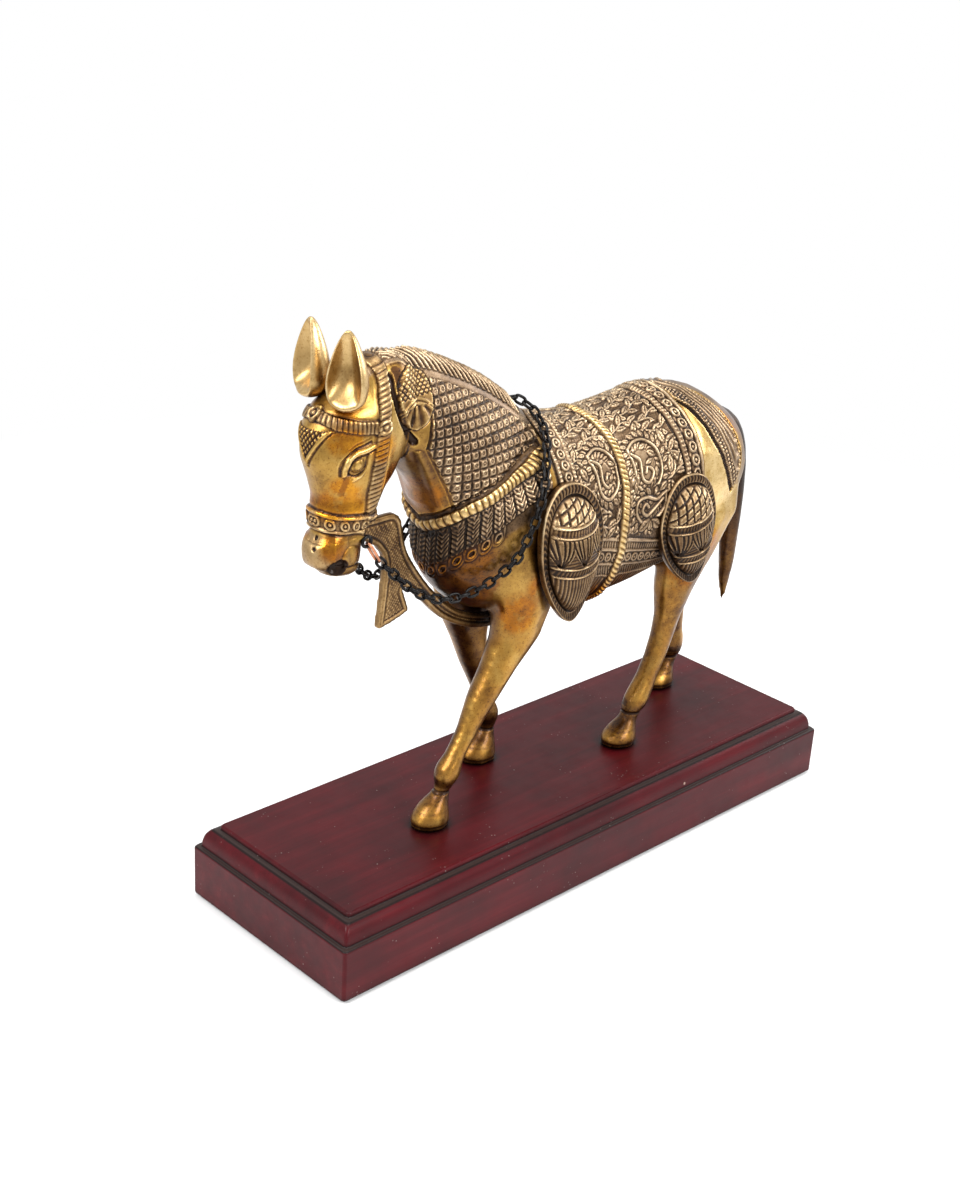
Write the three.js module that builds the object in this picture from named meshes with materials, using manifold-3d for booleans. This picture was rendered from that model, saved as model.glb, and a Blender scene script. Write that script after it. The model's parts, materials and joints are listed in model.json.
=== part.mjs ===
// Brass walking horse with a chased caparison and a rein chain, screwed to a moulded wooden base.
// Millimetres. +X is the way the horse walks, +Y its left side, +Z up.
// The origin is the middle of the underside. The horse's own heights count from the top of the base.

import * as THREE from "three";
import { mergeVertices } from "three/addons/utils/BufferGeometryUtils.js";
import Module from "manifold-3d";

const wasm = await Module();
wasm.setup();

// Base
const BASE_LENGTH = 305;
const BASE_WIDTH = 102;
const BLOCK_HEIGHT = 24;
const MOULDING_HEIGHT = 11;
const MOULDING_INSET = 8;
const LEDGE_WIDTH = 2.2;
const QUIRK_WIDTH = 1.2;
const TOP_LIP = 2.4;
const ARRIS = 0.7;
const CORNER_RADIUS = 1.5;
const FELT_THICKNESS = 1;
const FELT_INSET = 3;

// Fixings
const SCREW_DIAMETER = 4;
const SCREW_HEAD_DIAMETER = 8;
const SCREW_HEAD_HEIGHT = 3;
const SCREW_GRIP = 8;
const SLOT_WIDTH = 1.2;
const SLOT_DEPTH = 1.4;
const WASHER_DIAMETER = 10;
const WASHER_THICKNESS = 1;
const COUNTERBORE_CLEARANCE = 1;
const COUNTERBORE_DEPTH = 20;
const HOLE_CLEARANCE = 0.3;

// Horse
const HORSE_PLACE_X = -3;
const HORSE_PLACE_Y = -3;
const BODY_WIDTH = 57;
const NECK_WIDTH = 40;
const HEAD_WIDTH = 29;
const CASTING_SIDES = 20;
const BARREL_THIN = 0.06;
const NECK_THIN = 0.38;
const HEAD_THIN = 0.12;
const HEAD_SQUARE = 0.82;
const LEG_SPREAD = 30;
const EAR_HEIGHT = 31;
const EAR_WIDTH = 17;
const EAR_DEPTH = 16;
const EAR_SPREAD = 22;
const EAR_WALL = 1.2;
const STRAP_RELIEF = 1.1;
const STRAP_WIDTH = 5;
const NOSEBAND_WIDTH = 8;
const CLOTH_RELIEF = 0.6;
const ROPE_RELIEF = 1.6;
const GIRTH_WIDTH = 4.2;
const COLLAR_WIDTH = 5;
const BORDER_RELIEF = 1.2;
const FRONT_BORDER_WIDTH = 6;
const REAR_BORDER_WIDTH = 11;
const MANE_RELIEF = 0.9;
const MANE_WIDTH = 10;
const PAD_RIM = 2.4;
const PAD_DOME = 10;
const PAD_SIDES = 16;
const PAD_DOME_EDGE = 0.84;
const PAD_DOME_STEPS = [0.8, 0.72, 0.56, 0.36, 0.15];
const PAD_TAPER = 0.2;
const PAD_POINT = 0.22;
const PLATE_THICKNESS = 3.2;
const BRAZE_GAP = 0.3;

// Chain
const WIRE = 1.15;
const LINK_WIDTH = 4.6;
const LINK_PITCH = 4.2;
const LINK_PLAY = 0.5;
const LINK_JOIN = 0.2;
const LINK_FLAT = 0.9;
const CHAIN_STANDOFF = 3.3;
const RING_DIAMETER = 5.5;
const RING_WIRE = 1.1;
const END_LINK_LENGTH = 12.5;
const END_LINK_WIDTH = 4.4;
const END_LINK_WIRE = 1;
const LUG_THICKNESS = 1.4;
const LUG_DIAMETER = 4.4;
const LUG_HOLE = 2.4;
const LUG_STANDOFF = 1.8;

const BASE_TOP = FELT_THICKNESS + BLOCK_HEIGHT + MOULDING_HEIGHT;
const LEFT = 1;
const RIGHT = -1;
const SIDES = { left: LEFT, right: RIGHT };

// Barrel from the rump to the breast: x, middle height, half height, share of the body's width
const BARREL = [
  [-117, 128, 9, 0.32],
  [-111, 128.5, 19.5, 0.65],
  [-100, 129.5, 27, 0.87],
  [-85, 128.5, 36.5, 0.98],
  [-65, 127, 43, 1],
  [-40, 124, 44.5, 1],
  [-15, 122.5, 44, 0.98],
  [10, 124.5, 44.5, 0.96],
  [32, 128.5, 43, 0.9],
  [52, 128, 36, 0.8],
  [65.5, 126, 23, 0.58],
  [71.5, 124, 11, 0.3],
];

// Neck from the withers to the poll: x, height, half depth, share of its width, section lean in degrees
const NECK = [
  [34, 140, 32, 1, 138],
  [45, 148.5, 33.5, 1, 132],
  [61, 164, 30.5, 0.84, 120],
  [75, 177, 26, 0.72, 104],
  [89, 186.5, 23, 0.64, 92],
  [101, 191, 20, 0.5, 86],
];

// Head from the poll to the chin: middle x, height, half length, share of its width
const HEAD = [
  [101, 210.5, 3.5, 0.3],
  [101.5, 208, 8.5, 0.55],
  [104.5, 201.5, 15.8, 0.78],
  [108.3, 194, 20.3, 0.92],
  [112, 185, 24, 1],
  [113.4, 175, 22.6, 0.98],
  [114.6, 164, 17.6, 0.85],
  [117.2, 154, 12.6, 0.69],
  [119.4, 146, 10.6, 0.61],
  [122, 138, 12, 0.63],
  [122, 131, 11.6, 0.6],
  [119.6, 126, 8.6, 0.48],
  [118.2, 123.5, 4, 0.24],
];

// Ear from its root to its tip, in shares of its height, depth and width: height, half depth, half width
const EAR = [
  [0, 0.36, 0.3],
  [0.1, 0.82, 0.78],
  [0.3, 1, 1],
  [0.52, 0.9, 0.9],
  [0.74, 0.64, 0.62],
  [0.9, 0.4, 0.38],
  [1, 0.12, 0.12],
];

// Girth of a foreleg and of a hind leg: height, half depth, half width
const FORE_GIRTH = [
  [0, 9, 7.8],
  [4, 8.8, 7.6],
  [9, 6.8, 6],
  [13, 4.2, 4],
  [16.5, 3.6, 3.4],
  [20.5, 5.8, 5.2],
  [25, 5.7, 5.2],
  [30, 4.5, 4.2],
  [40, 4.7, 4.5],
  [53, 7, 6.4],
  [65, 8.8, 7.5],
  [78, 12.5, 9.5],
  [92, 15.5, 11],
  [110, 18, 12],
  [128, 16, 10],
];
const HIND_GIRTH = [
  [0, 9, 7.8],
  [4, 8.8, 7.6],
  [8, 6.8, 6],
  [11, 4.6, 4.4],
  [14, 4.4, 4.2],
  [18, 6.6, 5.6],
  [23, 6.4, 5.4],
  [30, 5.2, 4.6],
  [40, 5.4, 4.7],
  [50, 5.8, 5],
  [60, 7, 5.8],
  [74, 11, 8.6],
  [90, 17, 11],
  [108, 22, 12.5],
  [128, 20, 10.5],
];

// Stride of each leg: x at the heights above
const STRIDE = {
  left_foreleg: [76.5, 76.5, 75, 71.5, 69.5, 68, 67, 63.5, 57, 49.5, 41, 32, 29, 34, 40],
  right_foreleg: [20, 20, 18.5, 16, 15, 15.5, 16.5, 18, 22, 26.5, 30, 33, 35, 38, 41],
  left_hind_leg: [
    -43.5, -43.5, -45.5, -48.5, -50.5, -53, -55.5, -59.5, -64.5, -68, -70.5, -73, -79, -87, -90,
  ],
  right_hind_leg: [
    -105, -105, -107, -110, -112, -113, -113.5, -113, -112.5, -111.5, -109.5, -104, -97, -92, -90,
  ],
};

// Tail from the dock to the tip: x, height, half depth, half width
const TAIL = [
  [-100, 146, 6, 7.5],
  [-109, 145, 6, 7.5],
  [-118, 139.5, 6, 7],
  [-125, 128, 5.8, 6.5],
  [-128.5, 111, 5.4, 5.8],
  [-130, 90, 4.9, 5],
  [-130.5, 68, 3.8, 3.8],
  [-130.7, 52, 2, 2],
  [-130.7, 45, 0.5, 0.5],
];

// Harness lines on the castings
const CLOTH = { rear: -66, front: 20, hem: 100 };
const GIRTH_LINE = [[-9, 170], [-11, 165], [-15, 159], [-17.5, 148], [-18, 132], [-17, 112], [-16.5, 76]];
const COLLAR_LINE = [[80, 130], [74, 136], [66, 144.3], [51, 149.8], [36, 155.5], [32, 157]];
const FRONT_BORDER_LINE = [[16.5, 172], [15.5, 158], [14.5, 148], [13, 120]];
const REAR_BORDER_LINE = [[-53, 172], [-54, 168], [-57, 161], [-60.5, 154], [-62.5, 146], [-63, 114]];
const CREST_LINE = [[34, 181], [47, 189.5], [69, 201.5], [84, 206.5], [92, 208]];
const CRUPPER_OUTLINE = [
  [-61, 175], [-61, 166], [-70, 160], [-76, 151], [-82, 141], [-88, 130], [-93, 121.5],
  [-98, 130], [-104, 136], [-112, 142], [-112, 175],
];
const NOSEBAND_Z = 151;
const BROWBAND_Z = 191;
const CHEEK_STRAP_X = 109.5;
const EYE = { x: 123.5, z: 174, length: 8, height: 5, tilt: 20 };
const NOSTRIL = { x: 131, y: 5, z: 134, radius: 2 };
const MOUTH = { z: 128.5, depth: 11, gape: 1 };
const MOUTH_HOLE = { x: 126.5, y: 7, z: 129.3, radius: 3.7 };
const EAR_ROOT = { x: 126, z: 194.5 };
const PADS = {
  fore: { x: 16, z: 116, width: 36, height: 62.5, lean: 4, drop: 4 },
  hind: { x: -60.5, z: 109.3, width: 36, height: 55, lean: 14, drop: 1.5 },
};

// Martingale plate as x and z: its rounded head at the chin, the strap's two edges and the flared pendant
const PLATE_HEAD = {
  chinTop: [112, 143], crown: [94, 143], shoulder: [87.5, 143], nape: [86.8, 135], chinBottom: [112, 136],
};
const STRAP_TOP = [[84, 125], [76.4, 113], [66.2, 101], [52.3, 89.7], [34, 83.5], [12, 82.5]];
const STRAP_BOTTOM = [[12, 76], [34, 77], [49, 81], [63, 89], [74.5, 100], [86.5, 111]];
const PENDANT = {
  heel: [81.6, 97.7], sole: [90, 94.2], toe: [98.2, 93.3], front: [96.2, 108], throat: [95.4, 121.4],
  neck: [96.5, 132],
};

// Mouth lug, and the chain's route: points about a line along the withers, as x and degrees from the left
const LUG = { x: 114.5, z: 140.7 };
const WITHERS_LINE_Z = 140;
const PULL = new THREE.Vector3(-0.537, 0, -0.844);
const LEFT_SPAN = [
  [100.3, 122.3], [92.3, 114.3], [84.9, 109.8], [78, 107.9], [71, 107.9], [65, 109.3], [58, 112.2],
];
const RIGHT_SPAN = [
  [100.5, 119.5], [93.5, 112], [86, 108], [79, 108.6], [72, 113.2], [66, 119], [60, 124.8],
];
const WITHERS_ROUTE = [
  [47, -36], [42.5, -26], [37.5, -11], [33.5, 7], [30, 24], [27, 40], [23.8, 54], [21, 69],
  [21.5, 82], [24.5, 95], [28, 109], [31.5, 124], [35.5, 141], [40, 157], [45, 173], [49.5, 184], [54, 194],
];

// Materials
const finish = (color, roughness, metalness) => {
  return new THREE.MeshStandardMaterial({ color, roughness, metalness });
};
const brass = () => finish(0xa07a36, 0.36, 1);
const black = () => finish(0x1d1b1c, 0.45, 0.8);
const copper = () => finish(0xb3663f, 0.32, 1);
const steel = () => finish(0x8f9296, 0.4, 1);
const wood = () => finish(0x4c1720, 0.35, 0);
const felt = () => finish(0x20241f, 0.95, 0);

// A closed geometry as a solid for joining and cutting, and back
function solidOf(geometry) {
  const bare = geometry.clone();
  bare.deleteAttribute("normal");
  bare.deleteAttribute("uv");
  const merged = mergeVertices(bare, 1e-5);
  const mesh = new wasm.Mesh({
    numProp: 3,
    vertProperties: new Float32Array(merged.attributes.position.array),
    triVerts: new Uint32Array(merged.index.array),
  });
  return new wasm.Manifold(mesh);
}

function geometryOf(solid) {
  const mesh = solid.getMesh();
  const geometry = new THREE.BufferGeometry();
  geometry.setAttribute("position", new THREE.BufferAttribute(mesh.vertProperties, 3));
  geometry.setIndex(new THREE.BufferAttribute(mesh.triVerts, 1));
  geometry.computeVertexNormals();
  return geometry;
}

// The largest body of a solid that a cut left in several
function mainBody(solid) {
  return solid.decompose().sort((a, b) => b.volume() - a.volume())[0];
}

const united = (solids) => solids.reduce((sum, solid) => sum.add(solid));

// Rows of a table drawn out into a smooth run, with the given steps between rows
function smoothRows(rows, steps) {
  const row = (i) => rows[Math.min(Math.max(i, 0), rows.length - 1)];
  const run = [];
  for (let i = 0; i < rows.length - 1; i += 1) {
    for (let k = 0; k < steps; k += 1) {
      run.push(rows[i].map((_, c) => {
        const points = [-1, 0, 1, 2].map((j) => row(i + j)[c]);
        return catmullRom(k / steps, ...points);
      }));
    }
  }
  run.push(rows[rows.length - 1]);
  return run;
}

function catmullRom(t, before, from, to, after) {
  const slopeFrom = (to - before) / 2;
  const slopeTo = (after - from) / 2;
  const cubic = 2 * from - 2 * to + slopeFrom + slopeTo;
  const square = -3 * from + 3 * to - 2 * slopeFrom - slopeTo;
  return ((cubic * t + square) * t + slopeFrom) * t + from;
}

// An oval ring: up is its long direction, side its wide one, and thin makes its upper end narrower
function ovalRing(centre, up, side, deep, wide, count, thin = 0, square = 1) {
  const soften = (value) => Math.sign(value) * Math.abs(value) ** square;
  const ring = [];
  for (let i = 0; i < count; i += 1) {
    const angle = (2 * Math.PI * i) / count;
    const along = soften(Math.sin(angle));
    const across = soften(Math.cos(angle)) * (1 - thin * along);
    ring.push(centre.clone().addScaledVector(up, deep * along).addScaledVector(side, wide * across));
  }
  return ring;
}

// A closed solid through rings of equal count, with flat ends
function loft(rings) {
  const count = rings[0].length;
  const middle = (ring) => ring.reduce((sum, p) => sum.add(p), new THREE.Vector3()).divideScalar(count);
  const points = [...rings.flat(), middle(rings[0]), middle(rings[rings.length - 1])];
  const first = points.length - 2;
  const last = points.length - 1;
  const faces = [];
  for (let i = 0; i < count; i += 1) {
    const next = (i + 1) % count;
    const end = (rings.length - 1) * count;
    faces.push([first, next, i], [last, end + i, end + next]);
    for (let r = 0; r < rings.length - 1; r += 1) {
      const a = r * count;
      const b = a + count;
      faces.push([a + i, a + next, b + next], [a + i, b + next, b + i]);
    }
  }
  return closedGeometry(points, faces);
}

// A geometry of points and faces, turned to face out
function closedGeometry(points, faces) {
  const geometry = new THREE.BufferGeometry().setFromPoints(points);
  const volume = faces.reduce((sum, [i, j, k]) => {
    return sum + points[i].dot(new THREE.Vector3().crossVectors(points[j], points[k]));
  }, 0);
  geometry.setIndex(faces.flatMap(([i, j, k]) => (volume > 0 ? [i, j, k] : [i, k, j])));
  return geometry;
}

const ALONG_X = new THREE.Vector3(1, 0, 0);
const ALONG_Y = new THREE.Vector3(0, 1, 0);
const ALONG_Z = new THREE.Vector3(0, 0, 1);

// Horse forms. Each takes an amount to grow by, so that a neighbour can be cut with a gap.
function barrelForm(grow) {
  const rows = smoothRows(BARREL, 2);
  const rings = rows.map(([x, z, deep, share], i) => {
    const end = i === 0 ? -grow : i === rows.length - 1 ? grow : 0;
    const centre = new THREE.Vector3(x + end, 0, z);
    const wide = (share * BODY_WIDTH) / 2;
    return ovalRing(centre, ALONG_Z, ALONG_Y, deep + grow, wide + grow, CASTING_SIDES, BARREL_THIN);
  });
  return solidOf(loft(rings));
}

function neckForm(grow) {
  const rings = smoothRows(NECK, 2).map(([x, z, deep, share, lean]) => {
    const angle = THREE.MathUtils.degToRad(lean);
    const up = new THREE.Vector3(Math.cos(angle), 0, Math.sin(angle));
    const wide = (share * NECK_WIDTH) / 2;
    const centre = new THREE.Vector3(x, 0, z);
    return ovalRing(centre, up, ALONG_Y, deep + grow, wide + grow, CASTING_SIDES, NECK_THIN);
  });
  return solidOf(loft(rings));
}

function bodyForm(grow) {
  return barrelForm(grow).add(neckForm(grow));
}

function headForm(grow) {
  const rows = HEAD;
  const rings = rows.map(([x, z, deep, share], i) => {
    const end = i === 0 ? grow : i === rows.length - 1 ? -grow : 0;
    const wide = (share * HEAD_WIDTH) / 2;
    const centre = new THREE.Vector3(x, 0, z + end);
    const size = [deep + grow, wide + grow, CASTING_SIDES, HEAD_THIN, HEAD_SQUARE];
    return ovalRing(centre, ALONG_X, ALONG_Y, ...size);
  });
  return solidOf(loft(rings));
}

const legSide = (name) => (name.startsWith("left") ? LEFT : RIGHT);

function legForm(name, grow) {
  const girth = name.includes("fore") ? FORE_GIRTH : HIND_GIRTH;
  const y = (legSide(name) * LEG_SPREAD) / 2;
  const rows = girth.map((row, i) => [...row, STRIDE[name][i]]);
  const rings = rows.map(([z, deep, wide, x]) => {
    const centre = new THREE.Vector3(x, y, z);
    return ovalRing(centre, ALONG_X, ALONG_Y, deep + grow, wide + grow, 10);
  });
  return solidOf(loft(rings));
}

function tailForm(grow) {
  const rows = smoothRows(TAIL, 2);
  const rings = rows.map(([x, z, deep, wide], i) => {
    const [x0, z0] = rows[Math.max(i - 1, 0)];
    const [x1, z1] = rows[Math.min(i + 1, rows.length - 1)];
    const across = new THREE.Vector3(z1 - z0, 0, x0 - x1).normalize();
    return ovalRing(new THREE.Vector3(x, 0, z), across, ALONG_Y, deep + grow, wide + grow, 8);
  });
  return solidOf(loft(rings));
}

// Plain solids
function boxAt(x, y, z, sizeX, sizeY, sizeZ) {
  return solidOf(new THREE.BoxGeometry(sizeX, sizeY, sizeZ).translate(x, y, z));
}

function roundAt(x, y, low, high, radius) {
  const geometry = new THREE.CylinderGeometry(radius, radius, high - low, 12);
  return solidOf(geometry.rotateX(Math.PI / 2).translate(x, y, (low + high) / 2));
}

function ballAt(x, y, z, radiusX, radiusY, radiusZ, tilt = 0) {
  const geometry = new THREE.SphereGeometry(1, 8, 6).rotateX(Math.PI / 2).scale(radiusX, radiusY, radiusZ);
  return solidOf(geometry.rotateY(THREE.MathUtils.degToRad(tilt)).translate(x, y, z));
}

// A wide slab square to the median plane, leaning back by the given degrees
function slabAt(x, z, thickness, lean) {
  const reach = 2 * BASE_LENGTH;
  const geometry = new THREE.BoxGeometry(reach, reach, thickness);
  return solidOf(geometry.rotateY(THREE.MathUtils.degToRad(lean)).translate(x, 0, z));
}

// Where a line from outside meets a casting
function surfacePoint(mesh, from, toward) {
  return new THREE.Raycaster(from, toward).intersectObject(mesh)[0].point;
}

// A block whose edge follows a profile of insets and heights
function mouldedBlock(length, width, profile) {
  const rings = profile.map(([inset, z]) => {
    const shape = [];
    for (let quarter = 0; quarter < 4; quarter += 1) {
      const signX = quarter === 0 || quarter === 3 ? 1 : -1;
      const signY = quarter < 2 ? 1 : -1;
      for (let step = 0; step < 3; step += 1) {
        const angle = (quarter + step / 2) * (Math.PI / 2);
        const x = signX * (length / 2 - inset - CORNER_RADIUS) + CORNER_RADIUS * Math.cos(angle);
        const y = signY * (width / 2 - inset - CORNER_RADIUS) + CORNER_RADIUS * Math.sin(angle);
        shape.push(new THREE.Vector3(x, y, z));
      }
    }
    return shape;
  });
  return solidOf(loft(rings));
}

// Base board: square block, ledge, ovolo, quirk and raised top
function baseBoard(hoofPlaces) {
  const bottom = FELT_THICKNESS;
  const ledge = bottom + BLOCK_HEIGHT;
  const ovoloTop = BASE_TOP - TOP_LIP;
  const ovoloInset = MOULDING_INSET - QUIRK_WIDTH;
  const ovolo = [];
  for (let step = 0; step <= 6; step += 1) {
    const angle = (step / 6) * (Math.PI / 2);
    const inset = ovoloInset - (ovoloInset - LEDGE_WIDTH) * Math.cos(angle);
    ovolo.push([inset, ledge + (ovoloTop - ledge) * Math.sin(angle)]);
  }
  const profile = [
    [ARRIS, bottom],
    [0, bottom + ARRIS],
    [0, ledge - ARRIS],
    [ARRIS, ledge],
    ...ovolo,
    [MOULDING_INSET, ovoloTop],
    [MOULDING_INSET, BASE_TOP - ARRIS],
    [MOULDING_INSET + ARRIS, BASE_TOP],
  ];
  const holes = hoofPlaces.map(([x, y]) => {
    const bore = WASHER_DIAMETER / 2 + COUNTERBORE_CLEARANCE;
    const counterbore = roundAt(x, y, bottom - BLOCK_HEIGHT, bottom + COUNTERBORE_DEPTH, bore);
    const shankBore = SCREW_DIAMETER / 2 + HOLE_CLEARANCE;
    return counterbore.add(roundAt(x, y, bottom, BASE_TOP + BLOCK_HEIGHT, shankBore));
  });
  return mouldedBlock(BASE_LENGTH, BASE_WIDTH, profile).subtract(united(holes));
}

function feltPad() {
  return mouldedBlock(BASE_LENGTH, BASE_WIDTH, [[FELT_INSET, 0], [FELT_INSET, FELT_THICKNESS]]);
}

// A slotted pan-head screw, head down, with the top of its head at height zero
function screw() {
  const shank = BASE_TOP - FELT_THICKNESS - COUNTERBORE_DEPTH + WASHER_THICKNESS + SCREW_GRIP;
  const head = SCREW_HEAD_DIAMETER / 2;
  const radius = SCREW_DIAMETER / 2;
  const profile = [
    [0, -SCREW_HEAD_HEIGHT],
    [0.8 * head, -SCREW_HEAD_HEIGHT],
    [head, -0.6 * SCREW_HEAD_HEIGHT],
    [head, 0],
    [radius, 0],
    [radius, shank - radius / 2],
    [radius / 2, shank],
    [0, shank],
  ];
  const turned = new THREE.LatheGeometry(profile.map(([r, z]) => new THREE.Vector2(r, z)), 8);
  const slotMiddle = SLOT_DEPTH - SCREW_HEAD_HEIGHT - SCREW_HEAD_HEIGHT;
  const slot = boxAt(0, 0, slotMiddle, 2 * SCREW_HEAD_DIAMETER, SLOT_WIDTH, 2 * SCREW_HEAD_HEIGHT);
  return solidOf(turned.rotateX(Math.PI / 2)).subtract(slot);
}

function washer() {
  const outer = roundAt(0, 0, 0, WASHER_THICKNESS, WASHER_DIAMETER / 2);
  return outer.subtract(roundAt(0, 0, -1, WASHER_THICKNESS + 1, SCREW_DIAMETER / 2 + HOLE_CLEARANCE));
}

// Saddle cloth: the barrel's surface raised over the back
function clothForm(grow) {
  const length = CLOTH.front - CLOTH.rear + 2 * grow;
  const height = 2 * BASE_WIDTH;
  const middle = (CLOTH.front + CLOTH.rear) / 2;
  const field = boxAt(middle, 0, CLOTH.hem - grow + height / 2, length, BASE_LENGTH, height);
  return barrelForm(CLOTH_RELIEF + grow).intersect(field);
}

// A plate square to the horse's side, cut to an outline of x and z
function sidePlate(outline, thickness) {
  const shape = new THREE.Shape(outline.map(([x, z]) => new THREE.Vector2(x, z)));
  const plate = new THREE.ExtrudeGeometry(shape, { depth: thickness, bevelEnabled: false });
  return solidOf(plate.rotateX(Math.PI / 2).translate(0, thickness / 2, 0));
}

// The outline of a band of even width along a line of x and z
function bandOutline(line, width) {
  const points = line.map(([x, z]) => new THREE.Vector2(x, z));
  const edge = (offset) => points.map((point, i) => {
    const before = points[Math.max(i - 1, 0)];
    const after = points[Math.min(i + 1, points.length - 1)];
    const along = after.clone().sub(before).normalize();
    return [point.x - offset * along.y, point.y + offset * along.x];
  });
  return [...edge(width / 2), ...edge(-width / 2).reverse()];
}

// Raised work on barrel and neck: rope girth and collar, the cloth's two borders, crupper cloth and mane
function raisedWork(grow) {
  const band = (form, line, width, thickness) => {
    return form.intersect(sidePlate(bandOutline(line, width + 2 * grow), thickness + 2 * grow));
  };
  const roped = bodyForm(ROPE_RELIEF + grow);
  const bordered = barrelForm(BORDER_RELIEF + grow);
  return united([
    band(roped, GIRTH_LINE, GIRTH_WIDTH, BASE_WIDTH),
    band(roped, COLLAR_LINE, COLLAR_WIDTH, BASE_WIDTH),
    band(bordered, FRONT_BORDER_LINE, FRONT_BORDER_WIDTH, BASE_WIDTH),
    band(bordered, REAR_BORDER_LINE, REAR_BORDER_WIDTH, BASE_WIDTH),
    band(neckForm(MANE_RELIEF + grow), CREST_LINE, MANE_WIDTH, MANE_WIDTH),
    barrelForm(CLOTH_RELIEF + grow).intersect(sidePlate(CRUPPER_OUTLINE, BASE_WIDTH)),
  ]);
}

// Body casting: barrel and neck, with the saddle cloth and the raised work cast on
function bodyCasting() {
  return united([bodyForm(0), clothForm(0), raisedWork(0)]);
}

// Head casting: bridle straps, eyes, nostrils, mouth and the pierced lugs that hold the bit rings
function headCasting() {
  const bare = new THREE.Mesh(geometryOf(headForm(0)), brass());
  const noseband = headForm(STRAP_RELIEF).intersect(slabAt(0, NOSEBAND_Z, NOSEBAND_WIDTH, 0));
  const wide = 2 * HEAD_WIDTH;
  const browSlab = boxAt(CHEEK_STRAP_X + HEAD_WIDTH, 0, BROWBAND_Z, wide, wide, STRAP_WIDTH);
  const browband = headForm(STRAP_RELIEF).intersect(browSlab);
  const cheekHeight = 3 * HEAD_WIDTH;
  const cheekMiddle = NOSEBAND_Z + cheekHeight / 2;
  const cheekSlab = boxAt(CHEEK_STRAP_X, 0, cheekMiddle, STRAP_WIDTH, wide, cheekHeight);
  const cheekStraps = headForm(STRAP_RELIEF).intersect(cheekSlab);
  let solid = united([headForm(0), noseband, browband, cheekStraps]);
  for (const side of Object.values(SIDES)) {
    const outside = (x, z) => new THREE.Vector3(x, side * BASE_WIDTH, z);
    const inward = new THREE.Vector3(0, -side, 0);
    const eye = surfacePoint(bare, outside(EYE.x, EYE.z), inward);
    solid = solid.add(ballAt(eye.x, eye.y, eye.z, EYE.length / 2, STRAP_RELIEF, EYE.height / 2, -EYE.tilt));
    for (const hole of [NOSTRIL, MOUTH_HOLE]) {
      solid = solid.subtract(ballAt(hole.x, side * hole.y, hole.z, hole.radius, hole.radius, hole.radius));
    }
    solid = solid.add(mouthLug(side, bare));
  }
  const mouthX = HEAD[HEAD.length - 3][0] + MOUTH.depth;
  return solid.subtract(boxAt(mouthX, 0, MOUTH.z, 2 * MOUTH.depth, wide, MOUTH.gape));
}

// Where the bit ring passes through its lug
function lugHole(side, head) {
  const outside = new THREE.Vector3(LUG.x, side * BASE_WIDTH, LUG.z);
  const corner = surfacePoint(head, outside, new THREE.Vector3(0, -side, 0));
  return new THREE.Vector3(LUG.x, corner.y + side * LUG_STANDOFF, LUG.z);
}

// Lug: an eye at the corner of the mouth, lying along the pull of the chain
function mouthLug(side, head) {
  const hole = lugHole(side, head);
  const lean = Math.atan2(PULL.x, PULL.z);
  const place = (geometry) => solidOf(geometry.rotateY(lean).translate(hole.x, hole.y, hole.z));
  const disc = (diameter, thickness) => {
    return new THREE.CylinderGeometry(diameter / 2, diameter / 2, thickness, 14).rotateZ(Math.PI / 2);
  };
  const root = new THREE.BoxGeometry(LUG_THICKNESS, LUG_DIAMETER, 0.8 * LUG_DIAMETER);
  root.translate(0, (-side * LUG_DIAMETER) / 2, 0);
  const hollow = place(disc(LUG_HOLE, 2 * LUG_THICKNESS));
  return place(disc(LUG_DIAMETER, LUG_THICKNESS)).add(place(root)).subtract(hollow);
}

// Ear: a leaf-shaped cup that opens forward
function earForm(side, shrink, lift) {
  const y = (side * EAR_SPREAD) / 2;
  const rings = smoothRows(EAR, 2).map(([height, deep, wide]) => {
    const centre = new THREE.Vector3(EAR_ROOT.x + lift, y, EAR_ROOT.z + EAR_HEIGHT * height);
    const halfDeep = Math.max((deep * EAR_DEPTH) / 2 - shrink, 0.05);
    const halfWide = Math.max((wide * EAR_WIDTH) / 2 - shrink, 0.05);
    return ovalRing(centre, ALONG_X, ALONG_Y, halfDeep, halfWide, 8);
  });
  return solidOf(loft(rings));
}

function ear(side, headCut) {
  const hollow = earForm(side, EAR_WALL, EAR_DEPTH / 2);
  return mainBody(earForm(side, 0, 0).subtract(hollow).subtract(headCut));
}

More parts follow.
